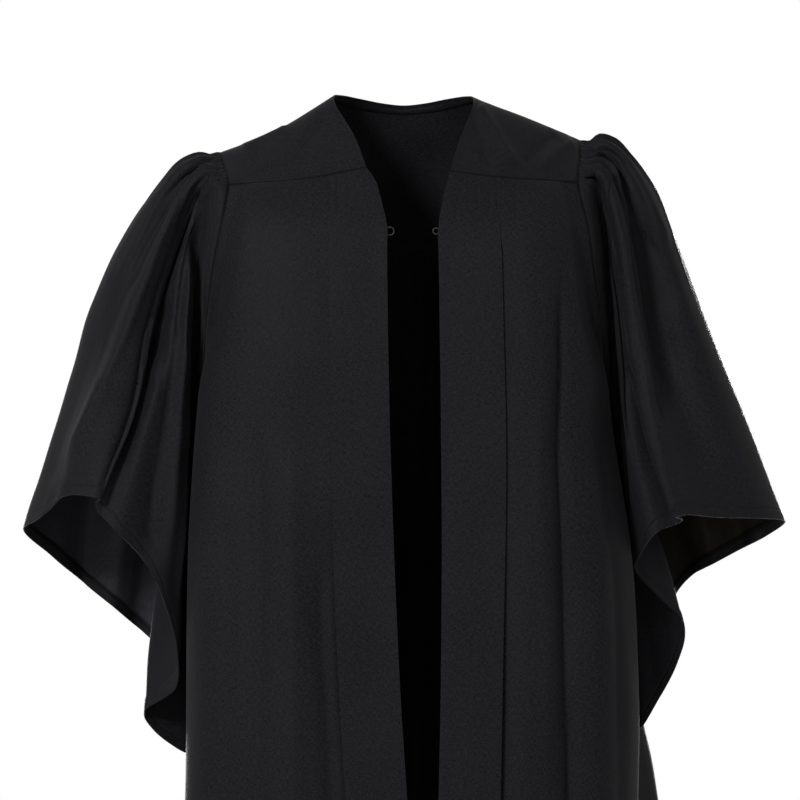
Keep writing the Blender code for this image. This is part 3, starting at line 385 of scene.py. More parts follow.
# Finer folds of each piece, as lines seen from the front or from behind, projected on the plane
# y = 0. height is how far a fold stands out of the cloth, or in if it is negative; left and right
# are how wide it falls away on each side, and tip is how round its top is. from and to are the
# places on the armhole that a sleeve's fold lies between.
FOLDS = {
    # fold, view, from, to, height, left, right, tip, line of (x, z)
    "sleeve_right": (
        ("ridge below the shoulder", "front", 12.2, 3.2, 3.5, 7, 4, 0.8,
         ((-190, -62), (-202, -66), (-225, -75), (-236, -91), (-248, -110), (-257, -128),
          (-266, -149), (-275, -165), (-291, -178))),
        ("hollow behind it", "front", 12.2, 3.2, -3.4, 5, 6, 1.5,
         ((-198, -70), (-212, -75), (-223, -86), (-233, -104), (-242, -124), (-252, -148),
          (-262, -170), (-274, -194))),
        ("long ridge", "front", 12.2, 4.2, 5.4, 14, 4, 0.8,
         ((-187, -63), (-204, -78), (-218, -94), (-229, -112), (-239, -133), (-248, -155),
          (-257, -181), (-266, -206), (-275, -231), (-294, -274), (-309, -306), (-325, -341),
          (-342, -380))),
        ("long valley", "front", 0.2, 5.2, -5.2, 6, 5, 1.2,
         ((-185, -71), (-200, -80), (-211, -94), (-220, -119), (-225, -142), (-232, -162),
          (-241, -187), (-250, -215), (-257, -238), (-261, -264), (-267, -302), (-275, -331),
          (-282, -350), (-306, -401))),
        ("crease to the hem", "front", 0.2, 5.2, -2.1, 4, 2.2, 0.4,
         ((-254, -247), (-264, -294), (-275, -331), (-287, -360), (-304, -399))),
        ("inner ridge", "front", 1.2, 5.6, 3.5, 5, 7, 1.0,
         ((-188, -74), (-196, -86), (-203, -102), (-214, -134), (-223, -164), (-232, -194),
          (-240, -220))),
        ("soft ridge", "front", 1.2, 6.0, 2.2, 7, 5, 1.0,
         ((-242, -220), (-234, -229), (-226, -247), (-222, -274), (-220, -312), (-223, -352))),
        ("valley by the body", "front", 1.4, 6.0, -4.6, 7, 7, 2.0,
         ((-198, -88), (-207, -102), (-211, -132), (-212, -164), (-212, -192), (-210, -215),
          (-207, -238), (-207, -261), (-210, -302), (-214, -352))),
        ("ridge by the body", "front", 1.6, 6.0, 2.2, 4, 4, 0.6,
         ((-182, -78), (-190, -102), (-194, -142), (-198, -182), (-201, -222))),
        ("forearm hollow", "front", 1.4, 6.2, -3.7, 11, 8, 3,
         ((-250, -274), (-252, -322), (-254, -372), (-252, -422), (-246, -458))),
        ("hem crease", "front", 1.4, 6.2, -1.4, 3, 3, 0.5,
         ((-260, -424), (-254, -435), (-246, -447), (-238, -462))),
        ("hem crease", "front", 0.2, 5.2, -1.4, 3, 3, 0.5,
         ((-292, -391), (-296, -399), (-300, -408))),
        ("outer sheen fold", "front", 12.0, 3.2, 2.7, 10, 10, 3,
         ((-292, -282), (-310, -312), (-324, -340), (-338, -372), (-352, -398))),
        ("outer hollow", "front", 11.8, 3.2, -2.1, 10, 10, 4,
         ((-300, -232), (-316, -274), (-330, -314), (-344, -354), (-356, -392))),
        ("back fold", "back", 6, 13, -4.6, 9, 12, 3,
         ((-182, -72), (-199, -112), (-217, -162), (-236, -222), (-254, -282), (-267, -342))),
        ("back ridge", "back", 6, 13, 3.5, 9, 7, 1.5,
         ((-186, -62), (-209, -92), (-232, -134), (-254, -187), (-274, -242), (-296, -302),
          (-312, -372))),
        ("back valley", "back", 6, 13, -3.9, 8, 8, 2,
         ((-189, -57), (-216, -82), (-242, -118), (-264, -164), (-284, -216), (-300, -254))),
        ("back crease", "back", 6, 13, -2.1, 5, 5, 1,
         ((-228, -252), (-236, -302), (-248, -362), (-254, -422), (-258, -482))),
    ),
    "sleeve_left": (
        ("shoulder ridge", "front", 11.8, 3.2, 3.5, 4, 7, 0.8,
         ((186, -42), (199, -45), (211, -52), (225, -65), (236, -86), (247, -107), (256, -127),
          (266, -152))),
        ("upper valley", "front", 12.0, 3.6, -8.0, 4, 15, 1.0,
         ((186, -51), (202, -63), (211, -77), (220, -97), (225, -118), (229, -136), (231, -159),
          (234, -182), (241, -209), (245, -239), (252, -273), (257, -302), (268, -342))),
        ("long crest", "front", 12.4, 4.0, 5.0, 12, 4, 0.6,
         ((186, -62), (196, -72), (205, -85), (211, -104), (218, -125), (223, -148), (228, -182),
          (232, -216), (239, -251), (243, -273), (247, -308), (254, -336), (262, -377),
          (276, -409))),
        ("branch crease", "front", 11.8, 3.6, -2.1, 5, 5, 1.0,
         ((227, -126), (238, -137), (252, -154), (266, -174), (272, -196))),
        ("lower valley", "front", 0.4, 5.6, -5.3, 5, 6, 1.2,
         ((183, -86), (193, -100), (199, -120), (202, -148), (203, -182), (207, -212),
          (210, -273), (213, -308), (217, -342), (220, -385), (225, -438))),
        ("edge by the valley", "front", 0.4, 5.6, 3.0, 4, 6, 0.5,
         ((191, -92), (201, -110), (207, -134), (209, -164), (211, -202), (214, -247),
          (218, -297), (223, -342), (227, -392), (230, -437))),
        ("thin crease", "front", 0.4, 5.6, -2.0, 3, 4, 0.5,
         ((225, -269), (229, -292), (236, -317), (241, -337), (248, -356), (259, -382),
          (272, -414))),
        ("middle ridge", "front", 0.4, 5.6, 2.7, 6, 6, 1.5,
         ((196, -82), (208, -112), (215, -148), (220, -192), (225, -242), (231, -282))),
        ("crease by the body", "front", 0.6, 5.8, -2.3, 4, 4, 0.8,
         ((182, -94), (187, -117), (191, -152), (196, -192), (200, -232))),
        ("outer fold", "front", 11.4, 3.2, 2.4, 12, 10, 4,
         ((264, -202), (280, -252), (296, -297), (310, -342), (324, -392))),
        ("outer hollow", "front", 11.4, 3.2, -2.1, 10, 12, 4,
         ((258, -232), (272, -282), (286, -332), (298, -382), (304, -410))),
        ("back fold", "back", 6, 13, -4.6, 12, 9, 3,
         ((176, -70), (193, -107), (209, -157), (226, -212), (243, -274), (258, -332))),
        ("back ridge", "back", 6, 13, 3.5, 7, 9, 1.5,
         ((184, -58), (208, -88), (228, -130), (248, -186), (268, -244), (286, -306),
          (300, -372))),
        ("back valley", "back", 6, 13, -3.7, 8, 8, 2,
         ((192, -52), (220, -80), (244, -120), (264, -170), (286, -232), (296, -274))),
        ("back crease", "back", 6, 13, -2.1, 5, 5, 1,
         ((218, -242), (230, -302), (242, -352), (251, -412))),
    ),
    "front_left": (
        ("soft ridge", "front", 0, 1, 2.6, 12, 4, 1.5,
         ((146, -212), (146, -302), (139, -352), (138, -402), (144, -452), (145, -502),
          (147, -602), (148, -702), (149, -1192))),
        ("soft valley", "front", 0, 1, -12.0, 4, 17, 2,
         ((158, -152), (158, -202), (158, -262), (155, -332), (157, -402), (160, -502),
          (163, -602), (166, -702), (168, -802), (170, -1192))),
        ("side valley", "front", 0, 1, -6.0, 10, 7, 2,
         ((196, -282), (202, -352), (210, -422), (217, -502), (219, -602), (220, -702),
          (222, -1192))),
    ),
    "front_right": (
        ("soft valley", "front", 0, 1, -6.0, 16, 8, 4,
         ((-146, -312), (-147, -402), (-145, -502), (-146, -602), (-149, -702), (-152, -1192))),
        ("soft valley", "front", 0, 1, -3.2, 10, 10, 4,
         ((-178, -402), (-176, -502), (-177, -602), (-180, -702), (-184, -1192))),
        ("soft ridge", "front", 0, 1, 3.4, 12, 12, 4,
         ((-114, -332), (-112, -432), (-111, -542), (-110, -702), (-109, -1192))),
        ("band fold", "front", 0, 1, -5.0, 9, 4, 2,
         ((-83, -452), (-81, -542), (-77, -602), (-72, -702), (-62, -1192))),
    ),
    "yoke": (
        ("fold from the neck", "front", 0, 1, 4.0, 8, 4, 1.0,
         ((74, -6), (86, -24), (101, -48), (113, -70))),
        ("fold from the neck", "front", 0, 1, -3.6, 5, 6, 1.0,
         ((66, -14), (74, -32), (82, -54), (88, -74))),
        ("fold across", "front", 0, 1, -3.6, 5, 7, 1.0,
         ((152, -36), (142, -44), (130, -54), (120, -68))),
        ("fold across", "front", 0, 1, 3.0, 7, 5, 1.0,
         ((170, -44), (158, -52), (144, -62), (134, -74))),
        ("shoulder ridge", "front", 0, 1, 3.0, 4, 5, 0.8,
         ((-162, -52), (-148, -45), (-132, -37), (-114, -28))),
        ("fold from the neck", "front", 0, 1, -2.1, 7, 7, 2,
         ((-78, -14), (-88, -32), (-100, -52), (-108, -72))),
    ),
}


def curve(points, at, closed=False):
    """Points on a smooth curve through points; at is 0 on the first, 1 on the second and so on."""
    points = np.asarray(points, float)
    if closed:
        points = np.vstack([points, points[:1]])
    chord = np.maximum(np.linalg.norm(np.diff(points, axis=0), axis=1), 1e-6)[:, None]
    slope = np.diff(points, axis=0) / chord
    inner = (slope[:-1] * chord[1:] + slope[1:] * chord[:-1]) / (chord[1:] + chord[:-1])
    first, last = slope[:1], slope[-1:]
    if closed:
        first = last = (slope[-1:] * chord[:1] + slope[:1] * chord[-1:]) / (chord[:1] + chord[-1:])
    tangent = np.vstack([first, inner, last])
    at = np.asarray(at, float)
    start = np.clip(np.floor(at).astype(int), 0, len(chord) - 1)
    t = (at - start)[:, None]
    reach = chord[start]
    return ((2 * t**3 - 3 * t**2 + 1) * points[start]
            + (t**3 - 2 * t**2 + t) * reach * tangent[start]
            + (3 * t**2 - 2 * t**3) * points[start + 1]
            + (t**3 - t**2) * reach * tangent[start + 1])


def lattice(lines, down, across, closed=False):
    """Points on the smooth surface through lines, each a list of points from top to hem."""
    ribs = [curve(line, down) for line in lines]
    rows = np.stack(ribs, axis=1)
    return np.stack([curve(row, across, closed) for row in rows])


def facing(grid, closed=False):
    """Unit normals of a grid of points, across then down."""
    if closed:
        wide = np.concatenate([grid[:, -1:], grid, grid[:, :1]], axis=1)
        across = (wide[:, 2:] - wide[:, :-2])
    else:
        across = np.gradient(grid, axis=1)
    down = np.gradient(grid, axis=0)
    normal = np.cross(down, across)
    return normal / np.maximum(np.linalg.norm(normal, axis=2, keepdims=True), 1e-9)


def ease(value, low, high):
    """0 below low, 1 above high, smooth between."""
    t = np.clip((value - low) / (high - low), 0, 1)
    return t * t * (3 - 2 * t)


def table_column(rows, index, at):
    """A table's column read between its rows, where the first column runs downwards."""
    depth = [-row[0] for row in rows]
    return np.interp(-np.asarray(at, float), depth, [row[index] for row in rows])


def stop_short(grid, edge, gap=SEAM):
    """Draw one edge of a grid back along the cloth, so that it stops short of the seam."""
    inner = {"top": (0, slice(None)), "first": (slice(None), 0), "last": (slice(None), -1)}[edge]
    beside = {"top": (1, slice(None)), "first": (slice(None), 1), "last": (slice(None), -2)}[edge]
    away = grid[beside] - grid[inner]
    grid[inner] = grid[inner] + gap * away / np.linalg.norm(away, axis=1, keepdims=True)


def armhole(side, at):
    """Points on the armhole seam of one side; at counts rows of ARMHOLE."""
    column = 1 if side == "right" else 2
    return curve([row[column] for row in ARMHOLE], np.mod(at, len(ARMHOLE)), closed=True)


def armhole_lead(side, at):
    """The way the cloth crosses the armhole seam, outwards."""
    way = curve([row[3] for row in ARMHOLE], np.mod(at, len(ARMHOLE)), closed=True)
    way = way * np.array([-1 if side == "right" else 1, 1, 1])
    return way / np.linalg.norm(way, axis=1, keepdims=True)


def side_edge(side, index, down):
    """The edge of a body panel: the armhole down to the underarm, then the side seam to the hem.

    index counts the rows of a panel's sections and down gives the armhole's row for index 0."""
    rows = FRONT[side]
    index = np.asarray(index, float)
    under = abs(UNDERARM - down)
    arm = armhole(side, down + np.sign(UNDERARM - down) * np.minimum(index, under))
    seam = [armhole(side, [UNDERARM])[0]]
    seam += [(row[6], row[7], row[0]) for row in rows if row[6] is not None]
    straight = curve(seam, np.maximum(index - under, 0))
    return np.where((index <= under)[:, None], arm, straight)


def at_x(points, x):
    """Points on the smooth curve through points, at the given x."""
    fine = curve(points, np.linspace(0, len(points) - 1, 201))
    if fine[0][0] > fine[-1][0]:
        fine = fine[::-1]
    others = [np.interp(x, fine[:, 0], fine[:, way]) for way in (1, 2)]
    return np.stack([x, *others], axis=1)


def back_seam(x):
    """Points of the seam between yoke and back, at the given x."""
    quarter, middle = YOKE_BACK[0][3], YOKE_BACK[1][3]
    corners = [armhole(side, [BACK_CORNER])[0] for side in ("right", "left")]
    return at_x([corners[0], (-quarter[0], quarter[1], quarter[2]), middle, quarter, corners[1]], x)


def front_seam(side, x):
    """Points of the seam between yoke and front, at the given x."""
    station = YOKE_STATIONS[0]
    neck, middle = station[2:4] if side == "right" else station[4:6]
    return at_x([neck, middle, armhole(side, [YOKE_CORNER])[0]], x)


def yoke_grid():
    """The yoke from the right front seam, over the shoulders and back, to the left one."""
    right, left = [], []
    for _, at, neck_right, middle_right, neck_left, middle_left in YOKE_STATIONS:
        right.append((neck_right, middle_right, armhole("right", [at])[0]))
        left.append((neck_left, middle_left, armhole("left", [at])[0]))
    quarter, middle = YOKE_BACK[0][1:], YOKE_BACK[1][1:]
    mirrored = [tuple(np.array(point) * (-1, 1, 1)) for point in quarter]
    lines = right + [mirrored, middle, quarter] + left[::-1]
    half = np.concatenate([index + np.arange(count) / count
                           for index, count in enumerate(YOKE_COLUMNS)])
    across = np.concatenate([half, [len(YOKE_COLUMNS)], 2 * len(YOKE_COLUMNS) - half[::-1]])
    grid = lattice(lines, np.linspace(0, 2, YOKE_ROWS), across)
    places = [row[1] - len(ARMHOLE) * (row[1] > BACK_CORNER - 1) for row in YOKE_STATIONS]
    ends = len(places) - 1
    for index, column in enumerate(across):
        near = min(column, 2 * len(YOKE_COLUMNS) - column)
        side = "right" if column < len(YOKE_COLUMNS) else "left"
        if near <= ends:
            grid[-1, index] = armhole(side, [np.interp(near, range(ends + 1), places)])[0]
        else:
            grid[-1, index] = back_seam(grid[-1, index, :1])[0]
    grid[:, 0] = front_seam("right", grid[:, 0, 0])
    grid[:, -1] = front_seam("left", grid[:, -1, 0])
    stop_short(grid, "first")
    stop_short(grid, "last")
    stop_short(grid[::-1], "top")
    return grid


def front_edge(side, z):
    """Front edge of one side at height z: its x and how far forward it stands."""
    rows = FRONT[side]
    neck = NECK_CURVE[side]
    straight = [(row[0], row[1], row[3]) for row in rows if row[0] < neck[-1][0] - 20]
    stations = np.array(list(neck) + straight, float)
    return [np.interp(-z, -stations[:, 0], stations[:, way]) for way in (1, 2)]


def front_section(side, row, index):
    """Points of one level section of a front panel, from the band line to the side seam."""
    z, edge_x, band_x, forward, fold_x, fold_y, side_x, side_y = row
    if side_x is None:
        last = armhole(side, [index + YOKE_CORNER])[0]
    else:
        last = np.array([side_x, side_y, z], float)
    points = []
    for share in (0.0, 0.3, 0.6, 0.85):
        turn = share ** 2.4
        y = forward + (fold_y - forward) * (1 - math.sqrt(max(0.0, 1 - turn * 0.96)))
        height = z + (last[2] - z) * share if index == 0 else z
        points.append((band_x + (fold_x - band_x) * share, y, height))
    fold = np.array([fold_x, fold_y, z + (last[2] - z) * 0.9 if index == 0 else z])
    turned = fold * 0.45 + last * 0.55
    points += [tuple(fold), tuple(turned), tuple(last)]
    return points


def fold_depth(side, share, z):
    """How far the front panel's soft folds fall back at one place."""
    depth = np.zeros_like(z)
    for fold_side, top, hem, start, end, deep, half in FRONT_FOLDS:
        if fold_side != side:
            continue
        run = np.clip((start - z) / (start - end), 0, 1)
        centre = top + (hem - top) * run
        near = np.exp(-((share - centre) * PANEL_WIDTH / half) ** 2)
        depth += deep * near * ease(start - z, 0, 160)
    return depth


def front_grid(side):
    """A front panel from the band line to the armhole and side seam."""
    rows = FRONT[side]
    sections = [front_section(side, row, index) for index, row in enumerate(rows)]
    lines = [list(line) for line in zip(*sections)]
    across = np.linspace(0, len(lines) - 1, FRONT_COLUMNS)
    grid = lattice(lines, FRONT_ROWS, across)
    away = np.abs(grid[:, :, 0] - grid[:, :1, 0])
    z = grid[:, :, 2]
    step = table_column(BAND_STEP[side], 1, z)
    grid[:, :, 1] += step * np.exp(-(away / STEP_WIDTH) ** 2)
    share = np.broadcast_to(across / (len(lines) - 1), z.shape)
    grid[:, :, 1] += fold_depth(side, share, z) * ease(away, 0, STEP_WIDTH)
    grid[0] = front_seam(side, grid[0, :, 0])
    grid[:, -1] = side_edge(side, FRONT_ROWS, YOKE_CORNER)
    stop_short(grid, "top")
    stop_short(grid, "first")
    stop_short(grid, "last")
    return grid


def band_grid(side):
    """A front band from the front edge to just over the panel's edge."""
    rows = FRONT[side]
    neck = NECK_CURVE[side]
    sign = -1 if side == "right" else 1
    line = [(row[2], row[3], row[0]) for row in rows]
    outer = curve(line, FRONT_ROWS)
    top = neck[0]
    grid = []
    for index, (x, y, z) in enumerate(outer):
        z_edge = top[0] + (z - outer[0][2]) * (-LENGTH - top[0]) / (-LENGTH - outer[0][2])
        edge_x, edge_y = front_edge(side, z_edge)
        lap = float(table_column(BAND_STEP[side], 2, z))
        end = np.array([x + sign * lap, y, z])
        start = np.array([edge_x, edge_y, z_edge])
        grid.append([start + (end - start) * share for share in (0, 0.3, 0.65, 1)])
    grid = np.array(grid)
    grid[0] = front_seam(side, grid[0, :, 0])
    stop_short(grid, "top")
    stop_short(grid, "last")
    return grid


def back_grid():
    """The back panel from the right side seam to the left one, gathered under the yoke."""
    sections = []
    for index, (z, right, left, quarter_y, middle_y) in enumerate(BACK_SECTIONS):
        place = BACK_CORNER - index
        if place >= UNDERARM:
            ends = [armhole(side, [place])[0] for side in ("right", "left")]
        else:
            corners = [FRONT[side][index + 1] for side in ("right", "left")]
            ends = [np.array([row[6], row[7], row[0]], float) for row in corners]
        drop = [end[2] - z for end in ends]
        fold_right = (right[0], right[1], z + drop[0] * 0.8)
        fold_left = (left[0], left[1], z + drop[1] * 0.8)
        turned = [np.array(fold) * 0.5 + end * 0.5
                  for fold, end in zip((fold_right, fold_left), ends)]
        middle = [(right[0] * QUARTER, quarter_y, z), (0, middle_y, z),
                  (left[0] * QUARTER, quarter_y, z)]
        sections.append([ends[0], turned[0], fold_right, *middle, fold_left, turned[1], ends[1]])
    lines = [list(line) for line in zip(*sections)]
    across = back_columns(len(lines) - 1)
    grid = lattice(lines, BACK_ROWS, across)
    share = across_share(grid)
    top = BACK_SECTIONS[0][0]
    down = (top - grid[:, :, 2]) / (top + LENGTH)
    gathers = BACK_GATHER_HEIGHT * np.sin(2 * math.pi * YOKE_GATHERS * share)
    gathers *= ease(down, 0.0, 0.035) * (1 - ease(down, 0.05, 0.32))
    flutes = np.sin(2 * math.pi * BACK_FLUTES * share + 0.9 * np.sin(2 * math.pi * share * 2))
    flutes *= FLUTE_TOP + (FLUTE_HEM - FLUTE_TOP) * ease(down, 0.08, 1.1)
    flutes *= ease(down, 0.02, 0.2)
    edge = ease(share, 0.02, 0.12) * (1 - ease(share, 0.88, 0.98))
    grid += facing(grid) * ((gathers + flutes) * edge)[:, :, None]
    grid[0] = back_seam(grid[0, :, 0])
    grid[:, 0] = side_edge("right", BACK_ROWS, BACK_CORNER)
    grid[:, -1] = side_edge("left", BACK_ROWS, BACK_CORNER)
    stop_short(grid, "top")
    stop_short(grid, "first", 2 * SEAM)
    stop_short(grid, "last", 2 * SEAM)
    return grid


def back_columns(spans):
    """Places across the back, closest where the yoke gathers it."""
    inner = np.linspace(2, spans - 2, BACK_COLUMNS - 8)
    return np.concatenate([np.linspace(0, 2, 5)[:-1], inner, np.linspace(spans - 2, spans, 5)[1:]])


def across_share(grid):
    """Distance across the cloth, 0 at one side and 1 at the other, taken at the top row."""
    step = np.linalg.norm(np.diff(grid[0], axis=0), axis=1)
    share = np.concatenate([[0], np.cumsum(step)])
    return np.broadcast_to(share / share[-1], grid.shape[:2])


def sleeve_places():
    """The place on the armhole of each column of a sleeve."""
    return np.concatenate([np.linspace(start, end, count, endpoint=False)
                           for start, end, count in SLEEVE_COLUMNS])


def sleeve_grid(side):
    """A bell sleeve, closed round, from the armhole to its hem."""
    table = SLEEVES[side]
    places = [row[1] for row in table]
    seam = armhole(side, places)
    lead = seam + LEAD * armhole_lead(side, places)
    lines = [[seam[index], lead[index]] + list(row[2:]) for index, row in enumerate(table)]
    columns = sleeve_places()
    across = np.interp(columns, places + [len(ARMHOLE)], range(len(places) + 1))
    down = np.interp(SLEEVE_ROWS, SLEEVE_LEVELS, range(len(SLEEVE_LEVELS)))
    grid = lattice(lines, down, across, closed=True)
    grid[0] = armhole(side, columns)
    grid[1] = grid[0] + LEAD * armhole_lead(side, columns)
    for _ in range(INNER_SOFTENING):
        soft = (np.roll(grid, 1, axis=1) + 2 * grid + np.roll(grid, -1, axis=1)) / 4
        inner = ease(columns, 2.0, 2.6) * (1 - ease(columns, 6.6, 7.2))
        grid[2:] += (soft - grid)[2:] * inner[None, :, None]
    inward = facing(grid, closed=True) * (-1 if side == "right" else 1)
    grid += inward * (cap_gathers(columns, np.array(SLEEVE_ROWS)))[:, :, None]
    away = grid[1] - grid[0]
    gap = SEAM + UNDERARM_EASE * (1 - ease(np.abs(columns - UNDERARM), 0.4, 2.5))
    grid[0] += gap[:, None] * away / np.linalg.norm(away, axis=1, keepdims=True)
    return grid


def on_cap(place):
    """Places on the armhole counted from the shoulder tip, below 0 on the back of the cap."""
    return np.where(place > BACK_CORNER, place - len(ARMHOLE), place)


def cap_gathers(columns, down):
    """Height of the small gathers on the cap, strongest just below the yoke."""
    place = on_cap(columns)
    wave = np.sin(math.pi * CAP_GATHERS * place + 0.5 * math.pi)
    cap = (1 - ease(np.abs(place), 1.75, 2.15))
    fade = ease(down, 0.03, 0.08) * (1 - ease(down, 0.1, 0.42))
    return CAP_GATHER_HEIGHT * fade[:, None] * (wave * cap)[None, :]


def even_places(grid, axis, spacing, closed=False, dense=1.0):
    """Places along one way of a grid, as near to spacing apart on the cloth as whole steps allow.

    dense is how many times closer they are, for each step of the grid."""
    points = np.moveaxis(grid, axis, 0)
    if closed:
        points = np.concatenate([points, points[:1]])
    step = np.linalg.norm(np.diff(points, axis=0), axis=2).mean(axis=1) * dense
    reached = np.concatenate([[0], np.cumsum(step)])
    count = max(2, round(reached[-1] / spacing))
    wanted = np.linspace(0, reached[-1], count + 1)
    return np.interp(wanted[:-1] if closed else wanted, reached, np.arange(len(reached)))


def refined(grid, spacing, closed=False, dense=1.0):
    """The same surface with its points spacing apart, and where its columns are on the old."""
    rows = even_places(grid, 0, spacing)
    columns = even_places(grid, 1, spacing, closed, dense)
    tall = np.stack([curve(grid[:, column], rows) for column in range(grid.shape[1])], axis=1)
    return np.stack([curve(row, columns, closed) for row in tall]), columns


def cloth_measure(grid, closed=False):
    """Distances over the cloth of each point: from the first column and from the top row."""
    wide = np.concatenate([grid, grid[:, :1]], axis=1) if closed else grid
    across = np.linalg.norm(np.diff(wide, axis=1), axis=2)
    down = np.linalg.norm(np.diff(wide, axis=0), axis=2)
    u = np.concatenate([np.zeros((wide.shape[0], 1)), np.cumsum(across, axis=1)], axis=1)
    v = np.concatenate([np.zeros((1, wide.shape[1])), np.cumsum(down, axis=0)], axis=0)
    return u, v


def on_plane(grid):
    """Where each point is seen from the front, as x and z on the plane y = 0."""
    eye = np.array(EYE, float)
    reach = (grid[..., 1:2] - eye[1]) / -eye[1]
    return (grid[..., (0, 2)] - eye[[0, 2]]) / reach + eye[[0, 2]]


def between(place, start, end):
    """1 where place is from start round the armhole to end, else 0, with soft ends."""
    span = (end - start) % len(ARMHOLE)
    past = (place - start) % len(ARMHOLE)
    return np.where(past <= span, ease(past, 0, 0.25) * (1 - ease(past, span - 0.25, span)), 0)


def fold_relief(piece, grid, normal, place=None):
    """How far the finer folds of one piece stand out of its cloth at each point."""
    seen = on_plane(grid)
    relief = np.zeros(grid.shape[:2])
    for _, view, start, end, height, left, right, tip, line in FOLDS.get(piece, ()):
        line = curve(line, np.linspace(0, len(line) - 1, 3 * len(line) - 2))
        length = np.linalg.norm(np.diff(line, axis=0), axis=1)
        reached = np.concatenate([[0], np.cumsum(length)])
        nearest = np.full(relief.shape, np.inf)
        width = np.full(relief.shape, float(right))
        along = np.zeros(relief.shape)
        for index, (first, second) in enumerate(zip(line[:-1], line[1:])):
            way = second - first
            part = np.clip((seen - first) @ way / length[index] ** 2, 0, 1)
            off = seen - first - part[..., None] * way
            distance = np.linalg.norm(off, axis=2)
            closer = distance < nearest
            nearest = np.where(closer, distance, nearest)
            side = way[0] * off[..., 1] - way[1] * off[..., 0]
            width = np.where(closer, np.where(side > 0, right, left), width)
            along = np.where(closer, (reached[index] + part * length[index]) / reached[-1], along)
        shape = np.exp(-(np.sqrt(nearest**2 + tip**2) - tip) / width)
        shape *= ease(along, 0, 0.08) * (1 - ease(along, 0.86, 1))
        toward = -normal[..., 1] if view == "front" else normal[..., 1]
        shape *= ease(toward, 0.05, 0.35)
        if place is not None:
            shape *= between(place, start, end)[None, :]
        relief += height * shape
    return relief


def wander(grid, seed, size, height, upright):
    """Low uneven waves over the cloth; upright above 1 draws them out downwards."""
    chance = np.random.default_rng(seed)
    relief = np.zeros(grid.shape[:2])
    for _ in range(WAVES):
        way = chance.normal(size=3) * (1, 1, 1 / upright)
        way *= 2 * math.pi / (size * chance.uniform(0.6, 1.8) * np.linalg.norm(way))
        relief += np.sin(grid @ way + chance.uniform(0, 2 * math.pi))
    return relief * height / math.sqrt(WAVES)


def seam_gathers(place, v):
    """The small tight gathers that the yoke's end draws the sleeve cap into, close to the seam."""
    cap = on_cap(place)
    small = np.sin(2 * math.pi * SMALL_GATHERS * cap + 1.9 * np.sin(3.1 * cap))
    large = np.sin(2 * math.pi * SMALL_GATHERS * 0.43 * cap + 1.3 * np.sin(2.3 * cap + 1))
    wave = small[None, :] * (1 - ease(v, 8, 30)) + 0.9 * large[None, :] * (1 - ease(v, 20, 75))
    return SMALL_GATHER_HEIGHT * wave * (1 - ease(np.abs(cap), 1.8, 2.2))[None, :] * ease(v, 0, 3)


def gather_folds(across, v, seed, span, gap, height, reach):
    """Long thin folds that start in the gathers and run out downwards, uneven in every way.

    across runs along the seam. The folds stand between the two ends of span, gap apart, and
    height and reach are how far they stand out and run down; each of these three is a lowest and
    highest value."""
    chance = np.random.default_rng(seed)
    relief = np.zeros(v.shape)
    centre = span[0]
    while centre < span[1]:
        tall = chance.uniform(*height) * (1 if chance.random() < 0.6 else -0.7)
        steep = gap[0] * chance.uniform(0.19, 0.38)
        gentle = steep * chance.uniform(1.5, 3)
        start, end = chance.uniform(6, 40), chance.uniform(*reach)
        off = across[None, :] - centre - gap[0] * chance.normal(0, 0.9) * v / 300
        sides = (steep, gentle) if chance.random() < 0.5 else (gentle, steep)
        shape = np.exp(-np.abs(off) / np.where(off > 0, *sides))
        relief += tall * shape * ease(v, 2, start) * (1 - ease(v, 0.4 * end, end))
        centre += chance.uniform(*gap)
    return relief


def pushed(piece, place, v):
    """How far the cloth is drawn forward and aside, where it turns in late and steeply."""
    moved = np.zeros(v.shape + (3,))
    for owner, start, full, still, end, forward, aside, above, below in PUSHES:
        if owner == piece:
            shape = ease(place, start, full) * (1 - ease(place, still, end))
            shape = shape[None, :] * ease(v, above, above + 60) * (1 - ease(v, below - 90, below))
            moved += shape[:, :, None] * np.array((aside, -forward, 0))
    return moved


def detailed(piece, grid, place=None):
    """The fine sheet with its finer folds and low waves, which fade out at its seams.

    place is given for a sleeve, which is closed round."""
    closed = place is not None
    seed = PIECES[piece]["seed"]
    normal = facing(grid, closed) * PIECES[piece]["outward"]
    u, v = (measure[:, :grid.shape[1]] for measure in cloth_measure(grid, closed))
    relief = fold_relief(piece, grid, normal, place) + wander(grid, seed, *PIECES[piece]["waves"])
    relief *= ease(v, 0, 10)
    if closed:
        relief += seam_gathers(place, v)
    if piece in GATHER_FOLDS:
        across = on_cap(place) if closed else across_share(grid)[0]
        relief += gather_folds(across, v, seed, *GATHER_FOLDS[piece])
    if closed:
        grid = grid + pushed(piece, place, v)
    else:
        relief *= ease(u, 0, 14) * ease(u[:, -1:] - u, 0, 14)
    return grid + normal * relief[:, :, None]


def turned_order(count, step, first, last):
    """Places and layers along one way of a grid whose ends may be turned in, each by a depth."""
    order = [(place, 0) for place in range(count)]
    if first:
        inside = range(min(count - 1, max(1, round(first / step))) + 1)
        order = [(place, 1) for place in reversed(inside)] + order
    if last:
        inside = range(min(count - 1, max(1, round(last / step))) + 1)
        order = order + [(count - 1 - place, 1) for place in inside]
    return np.array(order)


def deselect():
    """Start from nothing selected, out of edit mode."""
    if bpy.context.mode != "OBJECT":
        bpy.ops.object.mode_set(mode="OBJECT")
    bpy.ops.object.select_all(action="DESELECT")


